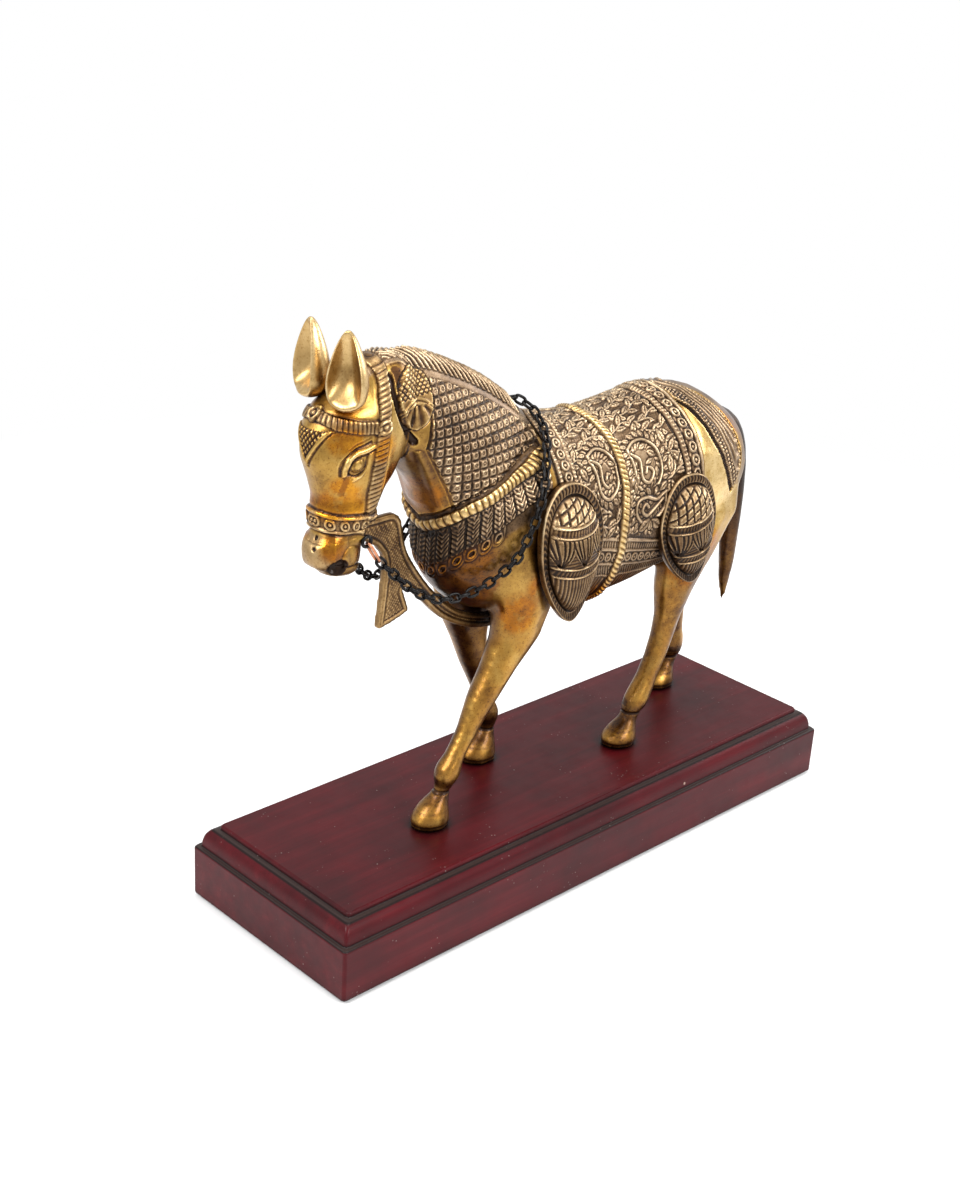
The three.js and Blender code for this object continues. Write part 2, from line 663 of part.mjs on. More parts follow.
// Pad: an egg-shaped dome in a flat rim, that follows the flank and hangs straight below it
function pad({ x, z, width, height, lean, drop }, side, cuts) {
  const tilt = THREE.MathUtils.degToRad(lean);
  const layer = ([size, out]) => {
    const points = [];
    for (let i = 0; i < PAD_SIDES; i += 1) {
      const angle = (2 * Math.PI * i) / PAD_SIDES;
      const up = Math.sin(angle) * size;
      const narrowing = (1 + PAD_TAPER * up) * (1 - PAD_POINT * Math.min(up, 0) ** 2);
      const across = (Math.cos(angle) * size * narrowing * width) / 2;
      const rise = (up * height) / 2;
      const flank = BODY_WIDTH / 2 - drop * Math.max(up, 0) ** 2;
      const px = x + across * Math.cos(tilt) + rise * Math.sin(tilt);
      const pz = z - across * Math.sin(tilt) + rise * Math.cos(tilt);
      points.push(new THREE.Vector3(px, side * (flank + out), pz));
    }
    return points;
  };
  const low = 0.65 * PAD_RIM;
  const backLayers = [[0.6, -low], [1, -low], [1, low]];
  const rimLayers = [[0.96, PAD_RIM], [0.84, PAD_RIM], [0.81, low]];
  const dome = (size) => [size, PAD_DOME * Math.sqrt(1 - (size / PAD_DOME_EDGE) ** 2)];
  const layers = [...backLayers, ...rimLayers, ...PAD_DOME_STEPS.map(dome)];
  const solid = solidOf(loft(layers.map(layer)));
  return mainBody(cuts.reduce((rest, cut) => rest.subtract(cut), solid));
}

// Martingale: a flat plate in the median plane, from the chin to the girth, with a flared pendant
function martingale(cuts) {
  const points = (list) => list.map(([x, z]) => new THREE.Vector2(x, z));
  const shape = new THREE.Shape();
  shape.moveTo(...PLATE_HEAD.chinTop);
  shape.lineTo(...PLATE_HEAD.crown);
  shape.quadraticCurveTo(...PLATE_HEAD.shoulder, ...PLATE_HEAD.nape);
  shape.splineThru(points(STRAP_TOP));
  shape.lineTo(...STRAP_BOTTOM[0]);
  shape.splineThru(points(STRAP_BOTTOM.slice(1)));
  shape.lineTo(...PENDANT.heel);
  shape.quadraticCurveTo(...PENDANT.sole, ...PENDANT.toe);
  shape.quadraticCurveTo(...PENDANT.front, ...PENDANT.throat);
  shape.quadraticCurveTo(...PENDANT.neck, ...PLATE_HEAD.chinBottom);
  shape.closePath();
  const settings = { depth: PLATE_THICKNESS, bevelEnabled: false, curveSegments: 4 };
  const plate = new THREE.ExtrudeGeometry(shape, settings);
  plate.rotateX(Math.PI / 2).translate(0, PLATE_THICKNESS / 2, 0);
  return mainBody(cuts.reduce((left, cut) => left.subtract(cut), solidOf(plate)));
}

// Link: a wire bent to a long loop, lying along one direction in a plane square to another
function link(centre, along, square, length, width, wire) {
  const across = new THREE.Vector3().crossVectors(square, along).normalize();
  const end = (length - wire) / 2;
  const side = (width - wire) / 2;
  const flat = LINK_FLAT * side;
  const corners = [[end, -flat], [end, flat], [0, side], [-end, flat], [-end, -flat], [0, -side]];
  const path = corners.map(([u, v]) => centre.clone().addScaledVector(along, u).addScaledVector(across, v));
  return wireLoop(path, square, wire / 2, 4);
}

// Ring: a wire bent to a circle in a plane square to a direction
function ring(centre, square, diameter, wire) {
  const first = new THREE.Vector3().crossVectors(square, ALONG_Z).normalize();
  const second = new THREE.Vector3().crossVectors(square, first);
  const path = ovalRing(centre, first, second, (diameter - wire) / 2, (diameter - wire) / 2, 12);
  return wireLoop(path, square, wire / 2, 5);
}

// A closed loop of wire through points in a plane, mitred at each point
function wireLoop(path, square, radius, sides) {
  const points = [];
  const faces = [];
  path.forEach((point, i) => {
    const arriving = point.clone().sub(path[(i + path.length - 1) % path.length]).normalize();
    const leaving = path[(i + 1) % path.length].clone().sub(point).normalize();
    const tangent = arriving.clone().add(leaving).normalize();
    const out = tangent.clone().cross(square).divideScalar(tangent.dot(arriving));
    for (let k = 0; k < sides; k += 1) {
      const angle = (2 * Math.PI * k) / sides;
      const offset = out.clone().multiplyScalar(radius * Math.cos(angle));
      points.push(point.clone().add(offset).addScaledVector(square, radius * Math.sin(angle)));
      const next = (k + 1) % sides;
      const a = i * sides;
      const b = ((i + 1) % path.length) * sides;
      faces.push([a + k, b + k, b + next], [a + k, b + next, a + next]);
    }
  });
  return solidOf(closedGeometry(points, faces));
}

// The chain's middle line: mouth, left span, over the withers, right span, mouth
function chainRoute(startLeft, startRight, carriers) {
  const withers = WITHERS_ROUTE.map(([x, degrees]) => {
    const angle = THREE.MathUtils.degToRad(degrees);
    const out = new THREE.Vector3(0, Math.cos(angle), Math.sin(angle));
    const axis = new THREE.Vector3(x, 0, WITHERS_LINE_Z);
    const from = axis.clone().addScaledVector(out, BASE_LENGTH);
    const [hit] = new THREE.Raycaster(from, out.clone().negate()).intersectObjects(carriers);
    return hit.point.clone().addScaledVector(out, CHAIN_STANDOFF / hit.face.normal.dot(out));
  });
  const [leftEnd, rightEnd] = [withers[0], withers[withers.length - 1]];
  const span = (points, from, to) => points.map(([x, z]) => {
    return new THREE.Vector3(x, THREE.MathUtils.mapLinear(x, from.x, to.x, from.y, to.y), z);
  });
  const leftSpan = span(LEFT_SPAN, startLeft, leftEnd);
  const rightSpan = span(RIGHT_SPAN, startRight, rightEnd).reverse();
  const points = [startLeft, ...leftSpan, ...withers, ...rightSpan, startRight];
  const curve = new THREE.CatmullRomCurve3(points, false, "centripetal");
  curve.arcLengthDivisions = 2000;
  return { curve, leftEnd, rightEnd };
}

// How far along a curve a point lies
function distanceAlong(curve, point) {
  const steps = 1000;
  const gaps = curve.getSpacedPoints(steps).map((p) => p.distanceTo(point));
  return (curve.getLength() * gaps.indexOf(Math.min(...gaps))) / steps;
}

// Directions across a curve, carried along it without twist from across its start to across its end
function carriedNormals(curve, steps) {
  const tangents = [...Array(steps + 1).keys()].map((i) => curve.getTangentAt(i / steps));
  const normals = [new THREE.Vector3().crossVectors(tangents[0], ALONG_Y).cross(tangents[0]).normalize()];
  for (let i = 1; i <= steps; i += 1) {
    const turn = new THREE.Quaternion().setFromUnitVectors(tangents[i - 1], tangents[i]);
    normals.push(normals[i - 1].clone().applyQuaternion(turn));
  }
  return { tangents, normals };
}

// The links of the chain in three runs: the left span, the run over the neck and the right span
function chainRuns({ curve, leftEnd, rightEnd }) {
  const total = curve.getLength();
  const slack = LINK_JOIN + LINK_PLAY;
  const filled = total + 2 * slack - (WIRE - LINK_JOIN);
  const count = 2 * Math.round(filled / LINK_PITCH / 2) + 1;
  const pitch = filled / count;
  const length = pitch + 2 * WIRE - LINK_JOIN;
  const steps = 800;
  const { tangents, normals } = carriedNormals(curve, steps);
  const last = new THREE.Vector3().crossVectors(tangents[steps], normals[steps]);
  const twist = Math.atan2(last.y, normals[steps].y);
  const ends = [leftEnd, rightEnd].map((end) => Math.round(distanceAlong(curve, end) / pitch));
  const runs = [[], [], []];
  for (let i = 0; i < count; i += 1) {
    const run = ends.filter((end) => i >= end).length;
    const place = (length - WIRE) / 2 + i * pitch - run * slack;
    const share = place / total;
    const along = tangents[Math.round(share * steps)];
    const square = normals[Math.round(share * steps)].clone();
    square.applyAxisAngle(along, twist * share + (i % 2) * (Math.PI / 2));
    runs[run].push(link(curve.getPointAt(share), along, square, length, LINK_WIDTH, WIRE));
  }
  return runs.map(united);
}

// Assembly
const object = new THREE.Group();
const horse = new THREE.Group();
horse.position.set(HORSE_PLACE_X, HORSE_PLACE_Y, BASE_TOP);
object.add(horse);

function addPiece(parent, name, solid, material) {
  const mesh = new THREE.Mesh(geometryOf(solid), material);
  mesh.name = name;
  parent.add(mesh);
  return mesh;
}

// Castings, each cut with the braze gap by the ones that carry it
const bodyCut = united([bodyForm(BRAZE_GAP), clothForm(BRAZE_GAP), raisedWork(BRAZE_GAP)]);
const headCut = headForm(BRAZE_GAP);
const body = addPiece(horse, "body_casting", bodyCasting(), brass());
const head = addPiece(horse, "head_casting", mainBody(headCasting().subtract(bodyCut)), brass());
const legs = [];
const legCuts = [];
const hoofPlaces = [];
for (const name of Object.keys(STRIDE)) {
  const hoofX = STRIDE[name][0];
  const hoofY = (legSide(name) * LEG_SPREAD) / 2;
  const tapped = roundAt(hoofX, hoofY, -SCREW_GRIP, SCREW_GRIP + 1, SCREW_DIAMETER / 2 + HOLE_CLEARANCE);
  const leg = mainBody(legForm(name, 0).subtract(bodyCut)).subtract(tapped);
  legs.push(addPiece(horse, name, leg, brass()));
  legCuts.push(legForm(name, BRAZE_GAP));
  hoofPlaces.push([name, hoofX + HORSE_PLACE_X, hoofY + HORSE_PLACE_Y]);
}
addPiece(horse, "tail", mainBody(tailForm(0).subtract(bodyCut)), brass());
for (const [sideName, side] of Object.entries(SIDES)) {
  addPiece(horse, `${sideName}_ear`, ear(side, headCut), brass());
  for (const [padName, place] of Object.entries(PADS)) {
    addPiece(horse, `${sideName}_${padName}_pad`, pad(place, side, [bodyCut, ...legCuts]), brass());
  }
}
addPiece(horse, "martingale_plate", martingale([bodyCut, headCut]), brass());

// Chain: a ring in each lug, a long copper link, and the black chain over the neck
const bareHead = new THREE.Mesh(geometryOf(headForm(0)));
const starts = {};
for (const [sideName, side] of Object.entries(SIDES)) {
  const hole = lugHole(side, bareHead);
  const along = (distance) => hole.clone().addScaledVector(PULL, distance);
  const ringReach = RING_DIAMETER / 2 - RING_WIRE / 2;
  const bitRing = ring(along(ringReach), ALONG_Y, RING_DIAMETER, RING_WIRE);
  addPiece(horse, `${sideName}_bit_ring`, bitRing, black());
  const linkStart = 2 * ringReach - RING_WIRE / 2 - LINK_PLAY - END_LINK_WIRE;
  const acrossPull = new THREE.Vector3().crossVectors(PULL, ALONG_Y);
  const centre = along(linkStart + END_LINK_LENGTH / 2);
  const endLink = link(centre, PULL, acrossPull, END_LINK_LENGTH, END_LINK_WIDTH, END_LINK_WIRE);
  addPiece(horse, `${sideName}_end_link`, endLink, copper());
  starts[sideName] = along(linkStart + END_LINK_LENGTH - END_LINK_WIRE - LINK_PLAY - WIRE / 2);
}
const [leftRun, neckRun, rightRun] = chainRuns(chainRoute(starts.left, starts.right, [body, ...legs]));
addPiece(horse, "left_rein_span", leftRun, black());
addPiece(horse, "neck_chain", neckRun, black());
addPiece(horse, "right_rein_span", rightRun, black());

// Base, felt, screws and washers
addPiece(object, "base_board", baseBoard(hoofPlaces.map(([, x, y]) => [x, y])), wood());
addPiece(object, "felt_pad", feltPad(), felt());
const washerTop = FELT_THICKNESS + COUNTERBORE_DEPTH;
for (const [name, x, y] of hoofPlaces) {
  addPiece(object, `${name}_screw`, screw(), steel()).position.set(x, y, washerTop - WASHER_THICKNESS);
  addPiece(object, `${name}_washer`, washer(), steel()).position.set(x, y, washerTop - WASHER_THICKNESS);
}

export default object;
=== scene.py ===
import json
import math
import bmesh
import bpy
import numpy as np
from mathutils import Matrix, Vector
from mathutils.bvhtree import BVHTree
from mathutils.kdtree import KDTree

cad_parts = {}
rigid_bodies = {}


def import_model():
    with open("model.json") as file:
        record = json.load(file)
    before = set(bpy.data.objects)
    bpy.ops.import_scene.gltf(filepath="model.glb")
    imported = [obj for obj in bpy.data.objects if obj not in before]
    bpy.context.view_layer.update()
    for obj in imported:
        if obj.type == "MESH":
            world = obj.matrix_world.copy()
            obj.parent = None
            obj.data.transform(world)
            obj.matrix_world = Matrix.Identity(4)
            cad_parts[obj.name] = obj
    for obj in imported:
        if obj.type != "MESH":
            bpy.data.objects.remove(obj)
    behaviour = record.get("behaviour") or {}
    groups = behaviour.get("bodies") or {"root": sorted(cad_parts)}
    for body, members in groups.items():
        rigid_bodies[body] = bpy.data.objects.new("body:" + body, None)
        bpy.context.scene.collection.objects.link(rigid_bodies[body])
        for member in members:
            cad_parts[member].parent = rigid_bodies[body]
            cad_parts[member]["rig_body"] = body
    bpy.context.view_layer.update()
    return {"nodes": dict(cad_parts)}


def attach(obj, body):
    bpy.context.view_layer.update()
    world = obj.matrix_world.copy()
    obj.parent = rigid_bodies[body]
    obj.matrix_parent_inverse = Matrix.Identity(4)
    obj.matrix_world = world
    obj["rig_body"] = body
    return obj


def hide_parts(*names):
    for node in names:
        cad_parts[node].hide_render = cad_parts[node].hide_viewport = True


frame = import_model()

scene = bpy.context.scene
nodes = frame["nodes"]

# Lengths are in mm and become metres only when a mesh is written.
MM = 0.001
# The horse's own origin lies here in the frame: x forward, y to its left, z up from the top of the base.
HORSE_PLACE = np.array([-3.0, -3.0, 36.0])

# The photograph's camera: focal length in photo pixels, place in mm, and angles in degrees.
PHOTO_HEIGHT = 1200
FOCAL_PIXELS = 1813.5
CAMERA_PLACE = (537.97, 500.81, 444.54)
CAMERA_AZIMUTH = 135.115
CAMERA_ELEVATION = 24.108
CAMERA_ROLL = 3.518

# The castings that share one skin; the body comes first.
HORSE = [
    "body_casting", "head_casting", "left_foreleg", "right_foreleg",
    "left_hind_leg", "right_hind_leg", "tail",
]


# Small helpers for shapes given as arrays

def bump(distance, half):
    """A round ridge: 1 on the line, 0 from half away."""
    return np.sqrt(np.clip(1 - (distance / half) ** 2, 0, 1))


def step(low, high, value):
    """A soft rise from 0 at low to 1 at high, or a fall where low is the larger."""
    share = np.clip((value - low) / (high - low), 0, 1)
    return share * share * (3 - 2 * share)


def wave(phase):
    return 0.5 + 0.5 * np.cos(2 * np.pi * phase)


def reeds(phase):
    """Round ribs side by side, with narrow gaps between them."""
    return np.sqrt(1 - (2 * (phase % 1) - 1) ** 2)


def crossed(a, b, pitch, half):
    """Two sets of ridges that cross each other."""
    return np.maximum(bump(a % pitch - pitch / 2, half), bump(b % pitch - pitch / 2, half))


def within(value, low, high):
    return (value > low) & (value < high)


def moved(line, du, dv):
    return [(u + du, v + dv) for u, v in line]


def smooth_line(points, steps=7):
    """Points along a Catmull-Rom curve through the given ones."""
    p = np.array(points, float)
    p = np.vstack([2 * p[0] - p[1], p, 2 * p[-1] - p[-2]])
    line = []
    for a, b, c, d in zip(p[:-3], p[1:-2], p[2:-1], p[3:]):
        for s in np.arange(steps) / steps:
            line.append(b + 0.5 * s * (c - a + s * (2 * a - 5 * b + 4 * c - d + s * (3 * (b - c) + d - a))))
    line.append(p[-2])
    return np.array(line)


class Patch:
    """Ornament raised on some of the skin's points, drawn in flat coordinates u and v (mm)."""

    def __init__(self, where, u, v):
        self.rows = np.flatnonzero(where)
        self.u = u[self.rows]
        self.v = v[self.rows]
        self.height = np.zeros(len(self.rows))

    def near(self, low, high):
        return np.flatnonzero(within(self.u, low[0], high[0]) & within(self.v, low[1], high[1]))

    def lift(self, picked, height):
        self.height[picked] = np.maximum(self.height[picked], height)

    def rosette(self, u, v, radius, height):
        """A ring with a dot in it."""
        picked = self.near((u - radius, v - radius), (u + radius, v + radius))
        far = np.hypot(self.u[picked] - u, self.v[picked] - v) / radius
        self.lift(picked, height * np.maximum(bump(far - 0.74, 0.26), bump(far, 0.36)))

    def leaf(self, u, v, length, width, angle, height):
        """A pointed leaf with veins, its stalk at (u, v), over the work below with a thin gap round it."""
        picked = self.near((u - length, v - length), (u + length, v + length))
        cosine = math.cos(math.radians(angle))
        sine = math.sin(math.radians(angle))
        du = self.u[picked] - u
        dv = self.v[picked] - v
        along = (du * cosine + dv * sine) / length
        across = dv * cosine - du * sine
        half = 0.5 * width * np.sin(np.pi * np.clip(along, 0, 1) ** 0.8) + 1e-6
        inside = np.where(within(along, 0, 1), half - abs(across), -9)
        dome = step(0, 0.8, inside) * (0.65 + 0.35 * bump(across, half))
        veins = 0.4 * bump(across, 0.45) + 0.22 * wave((along * length + 0.8 * abs(across)) / 1.6)
        self.height[picked] *= 1 - step(-0.6, -0.1, inside)
        self.lift(picked, height * dome * (1 - veins))

    def plateau(self, points, height):
        """A flat raised shape inside a closed curve."""
        line = smooth_line(points)
        picked = self.near(line.min(0), line.max(0))
        u = self.u[picked]
        v = self.v[picked]
        inside = np.zeros(len(picked), bool)
        for (from_u, from_v), (to_u, to_v) in zip(line, np.roll(line, -1, 0)):
            if from_v != to_v:
                crossing = from_u + (to_u - from_u) * (v - from_v) / (to_v - from_v)
                inside ^= ((from_v > v) != (to_v > v)) & (u < crossing)
        self.height[picked] = np.where(inside, height, self.height[picked])

    def stroke(self, points, width, height, rib=0, clear=0):
        """A round ridge along a curve, ribbed at a pitch; work within the clear distance is cut away."""
        line = smooth_line(points)
        picked = self.near(line.min(0) - width - clear, line.max(0) + width + clear)
        spot = np.stack([self.u[picked], self.v[picked]], 1)
        best = np.full(len(picked), 1e9)
        along = np.zeros(len(picked))
        run = 0
        for a, b in zip(line[:-1], line[1:]):
            length = math.hypot(*(b - a))
            share = np.clip((spot - a) @ (b - a) / length ** 2, 0, 1)
            gap = np.hypot(*(spot - a - share[:, None] * (b - a)).T)
            along = np.where(gap < best, run + share * length, along)
            best = np.minimum(gap, best)
            run += length
        if clear:
            self.height[picked] *= step(0.5 * width, 0.5 * width + clear, best)
        ridge = bump(best, width / 2)
        if rib:
            ridge = ridge * (1 - 0.5 * wave(along / rib))
        self.lift(picked, height * ridge)


# Meshes

TONE_ROUNDS = 10
TONE_GAIN = 1.2


def swollen(name, swell=0):
    """A CAD node's mesh with its split corners joined and its skin moved outward."""
    part = bmesh.new()
    part.from_mesh(nodes[name].data)
    bmesh.ops.remove_doubles(part, verts=part.verts, dist=1e-6)
    part.normal_update()
    for vertex in part.verts:
        vertex.co += vertex.normal * swell * MM
    return part


def mesh_of(part, name):
    mesh = bpy.data.meshes.new(name)
    part.to_mesh(mesh)
    part.free()
    return mesh


def surface_of(name):
    """A CAD node's surface, for finding the nearest place on it."""
    part = swollen(name)
    tree = BVHTree.FromBMesh(part)
    part.free()
    return tree


def in_frame(spots):
    """Places on the horse (mm) as places in the frame (m)."""
    return (np.asarray(spots, float) + HORSE_PLACE) * MM


def new_object(name, data):
    made = bpy.data.objects.new(name, data)
    scene.collection.objects.link(made)
    return made


def evaluated(made):
    """The mesh that an object's modifiers make; the object itself goes."""
    bpy.context.view_layer.update()
    view = bpy.context.evaluated_depsgraph_get()
    mesh = bpy.data.meshes.new_from_object(made.evaluated_get(view))
    old = made.data
    bpy.data.objects.remove(made)
    bpy.data.meshes.remove(old)
    return mesh


def fetched(items, key, width, kind=np.float32):
    """A row of values for each item of a mesh."""
    flat = np.empty(len(items) * width, kind)
    items.foreach_get(key, flat)
    return flat.reshape(-1, width)


def coordinates(mesh):
    return fetched(mesh.vertices, "co", 3).astype(float) / MM - HORSE_PLACE


def set_coordinates(mesh, points):
    mesh.vertices.foreach_set("co", in_frame(points).astype(np.float32).ravel())
    mesh.update()


def normals_of(mesh):
    return fetched(mesh.vertex_normals, "vector", 3).astype(float)


def edges_of(mesh):
    return fetched(mesh.edges, "vertices", 2, np.int32)


def attribute(mesh, name, values):
    made = mesh.attributes.new(name, "FLOAT", "POINT")
    made.data.foreach_set("value", values.astype(np.float32))


def shade_smooth(mesh):
    mesh.polygons.foreach_set("use_smooth", np.ones(len(mesh.polygons), bool))


def averaged(values, edges):
    """Each point's mean over its neighbours, for any number of columns."""
    count = np.bincount(edges.ravel(), minlength=len(values))
    total = np.empty_like(values)
    for column in range(values.shape[1]):
        v = values[:, column]
        total[:, column] = np.bincount(edges[:, 0], v[edges[:, 1]], len(v))
        total[:, column] += np.bincount(edges[:, 1], v[edges[:, 0]], len(v))
    return total / np.maximum(count, 1)[:, None]


def relax(mesh, rounds):
    """Smoothing that keeps the volume: a pull inward and then a slightly larger push back."""
    points = coordinates(mesh)
    edges = edges_of(mesh)
    for _ in range(rounds):
        for pull in (0.5, -0.52):
            points = points + pull * (averaged(points, edges) - points)
    set_coordinates(mesh, points)


def remeshed(names, voxel, swell):
    """CAD nodes swollen until they meet and wrapped in one even skin of small squares."""
    joined = bmesh.new()
    for name in names:
        single = mesh_of(swollen(name, swell), "single")
        joined.from_mesh(single)
        bpy.data.meshes.remove(single)
    made = new_object("joined", mesh_of(joined, "joined"))
    wrap = made.modifiers.new("wrap", "REMESH")
    wrap.mode = "VOXEL"
    wrap.voxel_size = voxel * MM
    return evaluated(made)


def subdivided(mesh, levels):
    made = new_object("coarse", mesh)
    made.modifiers.new("finer", "SUBSURF").levels = levels
    return evaluated(made)


def tone_of(points, normals, edges):
    """0 in recesses, 1 on raised edges, about a half on plain skin."""
    soft = points
    for _ in range(TONE_ROUNDS):
        soft = 0.5 * (soft + averaged(soft, edges))
    return np.clip(0.5 + TONE_GAIN * np.einsum("ij,ij->i", points - soft, normals), 0, 1)


def coloured(mesh, tone, stain, work):
    """Writes the three values that the brass reads."""
    attribute(mesh, "tone", tone)
    attribute(mesh, "stain", stain)
    attribute(mesh, "work", work)


def only_material(mesh, material):
    mesh.materials.clear()
    mesh.materials.append(material)


def place(made, name, material):
    """Finishes a piece: its material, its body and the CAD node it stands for."""
    only_material(made.data, material)
    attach(made, nodes[name]["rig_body"])
    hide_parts(name)


# Materials

def opaque(colour):
    """A colour as a socket takes it; a link stays a link."""
    return colour if hasattr(colour, "is_output") else (*colour, 1)


class Graph:
    """A node tree with short calls for the nodes used here."""

    def __init__(self, tree):
        self.tree = tree

    def feed(self, socket, value):
        if hasattr(value, "is_output"):
            self.tree.links.new(value, socket)
        else:
            socket.default_value = value

    def node(self, kind, inputs=None, **settings):
        made = self.tree.nodes.new(kind)
        for key, value in settings.items():
            setattr(made, key, value)
        for key, value in (inputs or {}).items():
            self.feed(made.inputs[key], value)
        return made

    def math(self, operation, a, b, clamp=False):
        return self.node("ShaderNodeMath", {0: a, 1: b}, operation=operation, use_clamp=clamp).outputs[0]

    def ranged(self, value, low, high, to_low=0.0, to_high=1.0):
        inputs = {"Value": value, "From Min": low, "From Max": high, "To Min": to_low, "To Max": to_high}
        return self.node("ShaderNodeMapRange", inputs).outputs["Result"]

    def seen_rays(self):
        """1 for rays from the camera, a mirror or a clear thing, and 0 for scattered light."""
        rays = self.node("ShaderNodeLightPath").outputs
        either = self.math("MAXIMUM", rays["Is Camera Ray"], rays["Is Glossy Ray"])
        return self.math("MAXIMUM", either, rays["Is Transmission Ray"])


class Shader(Graph):
    """A material on the object's own coordinates."""

    def __init__(self, name):
        self.material = bpy.data.materials.new(name)
        self.material.use_nodes = True
        super().__init__(self.material.node_tree)
        self.surface = self.tree.nodes["Principled BSDF"]
        self.place = self.node("ShaderNodeTexCoord").outputs["Object"]

    def set(self, name, value):
        self.feed(self.surface.inputs[name], value)

    def noise(self, scale, detail=3, stretch=(1, 1, 1), rough=0.55):
        spread = self.node("ShaderNodeMapping", {"Vector": self.place, "Scale": stretch})
        inputs = {"Vector": spread.outputs[0], "Scale": scale, "Detail": detail, "Roughness": rough}
        return self.node("ShaderNodeTexNoise", inputs).outputs["Fac"]

    def specks(self, scale, size):
        """1 in scattered small dots."""
        cells = self.node("ShaderNodeTexVoronoi", {"Vector": self.place, "Scale": scale})
        return self.ranged(cells.outputs["Distance"], size, size * 0.6)

    def distance(self, spot):
        inputs = {0: self.place, 1: Vector(spot) * MM}
        return self.node("ShaderNodeVectorMath", inputs, operation="DISTANCE").outputs["Value"]

    def openness(self, reach):
        """1 in the open, less in corners."""
        return self.node("ShaderNodeAmbientOcclusion", {"Distance": reach * MM}, samples=6).outputs["AO"]

    def attribute(self, name):
        return self.node("ShaderNodeAttribute", attribute_name=name).outputs["Fac"]

    def ramp(self, value, stops):
        made = self.node("ShaderNodeValToRGB", {"Fac": value})
        elements = made.color_ramp.elements
        while len(elements) < len(stops):
            elements.new(0.5)
        for element, (position, colour) in zip(elements, stops):
            element.position = position
            element.color = opaque(colour)
        return made.outputs["Color"]

    def mix(self, share, a, b):
        inputs = {0: share, 6: opaque(a), 7: opaque(b)}
        return self.node("ShaderNodeMix", inputs, data_type="RGBA").outputs[2]

    def bumps(self, height, distance, strength):
        inputs = {"Strength": strength, "Distance": distance * MM, "Height": height}
        self.set("Normal", self.node("ShaderNodeBump", inputs).outputs["Normal"])


# Colours of brass from its recesses to its raised edges: smooth, chased, and under an amber stain
SMOOTH_BRASS = [
    (0.0, (0.020, 0.008, 0.003)),
    (0.2, (0.085, 0.034, 0.008)),
    (0.4, (0.215, 0.110, 0.021)),
    (0.56, (0.35, 0.198, 0.040)),
    (0.78, (0.52, 0.330, 0.095)),
    (1.0, (0.82, 0.60, 0.28)),
]
CHASED_BRASS = [
    (0.0, (0.012, 0.006, 0.003)),
    (0.2, (0.045, 0.023, 0.009)),
    (0.4, (0.150, 0.089, 0.045)),
    (0.56, (0.275, 0.183, 0.103)),
    (0.78, (0.475, 0.345, 0.210)),
    (1.0, (0.76, 0.61, 0.40)),
]
AMBER = [
    (0.15, (0.030, 0.009, 0.002)),
    (0.48, (0.26, 0.088, 0.004)),
    (0.82, (0.62, 0.28, 0.012)),
]
# Wear in clouds and specks: a noise's scale, detail and roughness, its range, and what it adds to the tone
BRASS_WEAR = [
    (60, 5, 0.55, 0.3, 0.7, -0.10, 0.08),
    (420, 3, 0.55, 0.3, 0.7, -0.05, 0.05),
    (28, 4, 0.55, 0.35, 0.65, -0.07, 0.07),
    (95, 6, 0.65, 0.52, 0.70, 0, -0.17),
    (1300, 2, 0.55, 0.56, 0.70, 0, -0.16),
]


def brass_material():
    """Old brass under clear lacquer: warm gold where it is smooth, grey-brown where it is chased.

    The mesh carries three values: tone (0 in recesses, 1 on raised edges), work (1 on chased ground)
    and stain (where amber stains may show)."""
    s = Shader("antique_brass")
    worn_and_shaded = s.attribute("tone")
    for scale, detail, rough, low, high, least, most in BRASS_WEAR:
        worn_and_shaded = s.math("ADD", worn_and_shaded, s.ranged(s.noise(scale, detail, rough=rough), low, high, least, most))
    # Painted shade, with patina in hollows: the tone falls where nearby parts close in within 14 mm, as
    # under the belly and between the legs
    worn_and_shaded = s.math("ADD", worn_and_shaded, s.ranged(s.openness(14), 0.15, 0.85, -0.30, 0.0), True)
    colour = s.mix(s.attribute("work"), s.ramp(worn_and_shaded, SMOOTH_BRASS), s.ramp(worn_and_shaded, CHASED_BRASS))
    stained = s.math("MULTIPLY", s.attribute("stain"), s.ranged(s.noise(130, 5), 0.30, 0.52), True)
    s.set("Base Color", s.mix(stained, colour, s.ramp(worn_and_shaded, AMBER)))
    s.set("Metallic", 1.0)
    rough = s.ranged(worn_and_shaded, 0.1, 0.75, 0.48, 0.27)
    rough = s.math("ADD", rough, s.ranged(stained, 0, 1, 0, -0.1))
    rough = s.math("ADD", rough, s.ranged(s.attribute("work"), 0, 1, 0, 0.06))
    s.set("Roughness", s.math("ADD", rough, s.ranged(s.noise(420, 3), 0.3, 0.7, -0.03, 0.07)))
    s.set("Coat Weight", 0.25)
    s.set("Coat Roughness", 0.22)
    s.bumps(s.noise(1100, 4), 0.16, 0.35)
    return s.material


def plain_metal(name, colour, rough, metallic=1.0, shine=0.5):
    s = Shader(name)
    fine = s.noise(500, 4)
    dark = tuple(0.55 * c for c in colour)
    s.set("Base Color", s.mix(s.ranged(fine, 0.35, 0.6), dark, colour))
    s.set("Metallic", metallic)
    s.set("Roughness", s.ranged(fine, 0.3, 0.7, rough - 0.06, rough + 0.1))
    s.set("Specular IOR Level", shine)
    s.bumps(fine, 0.05, 0.3)
    return s.material
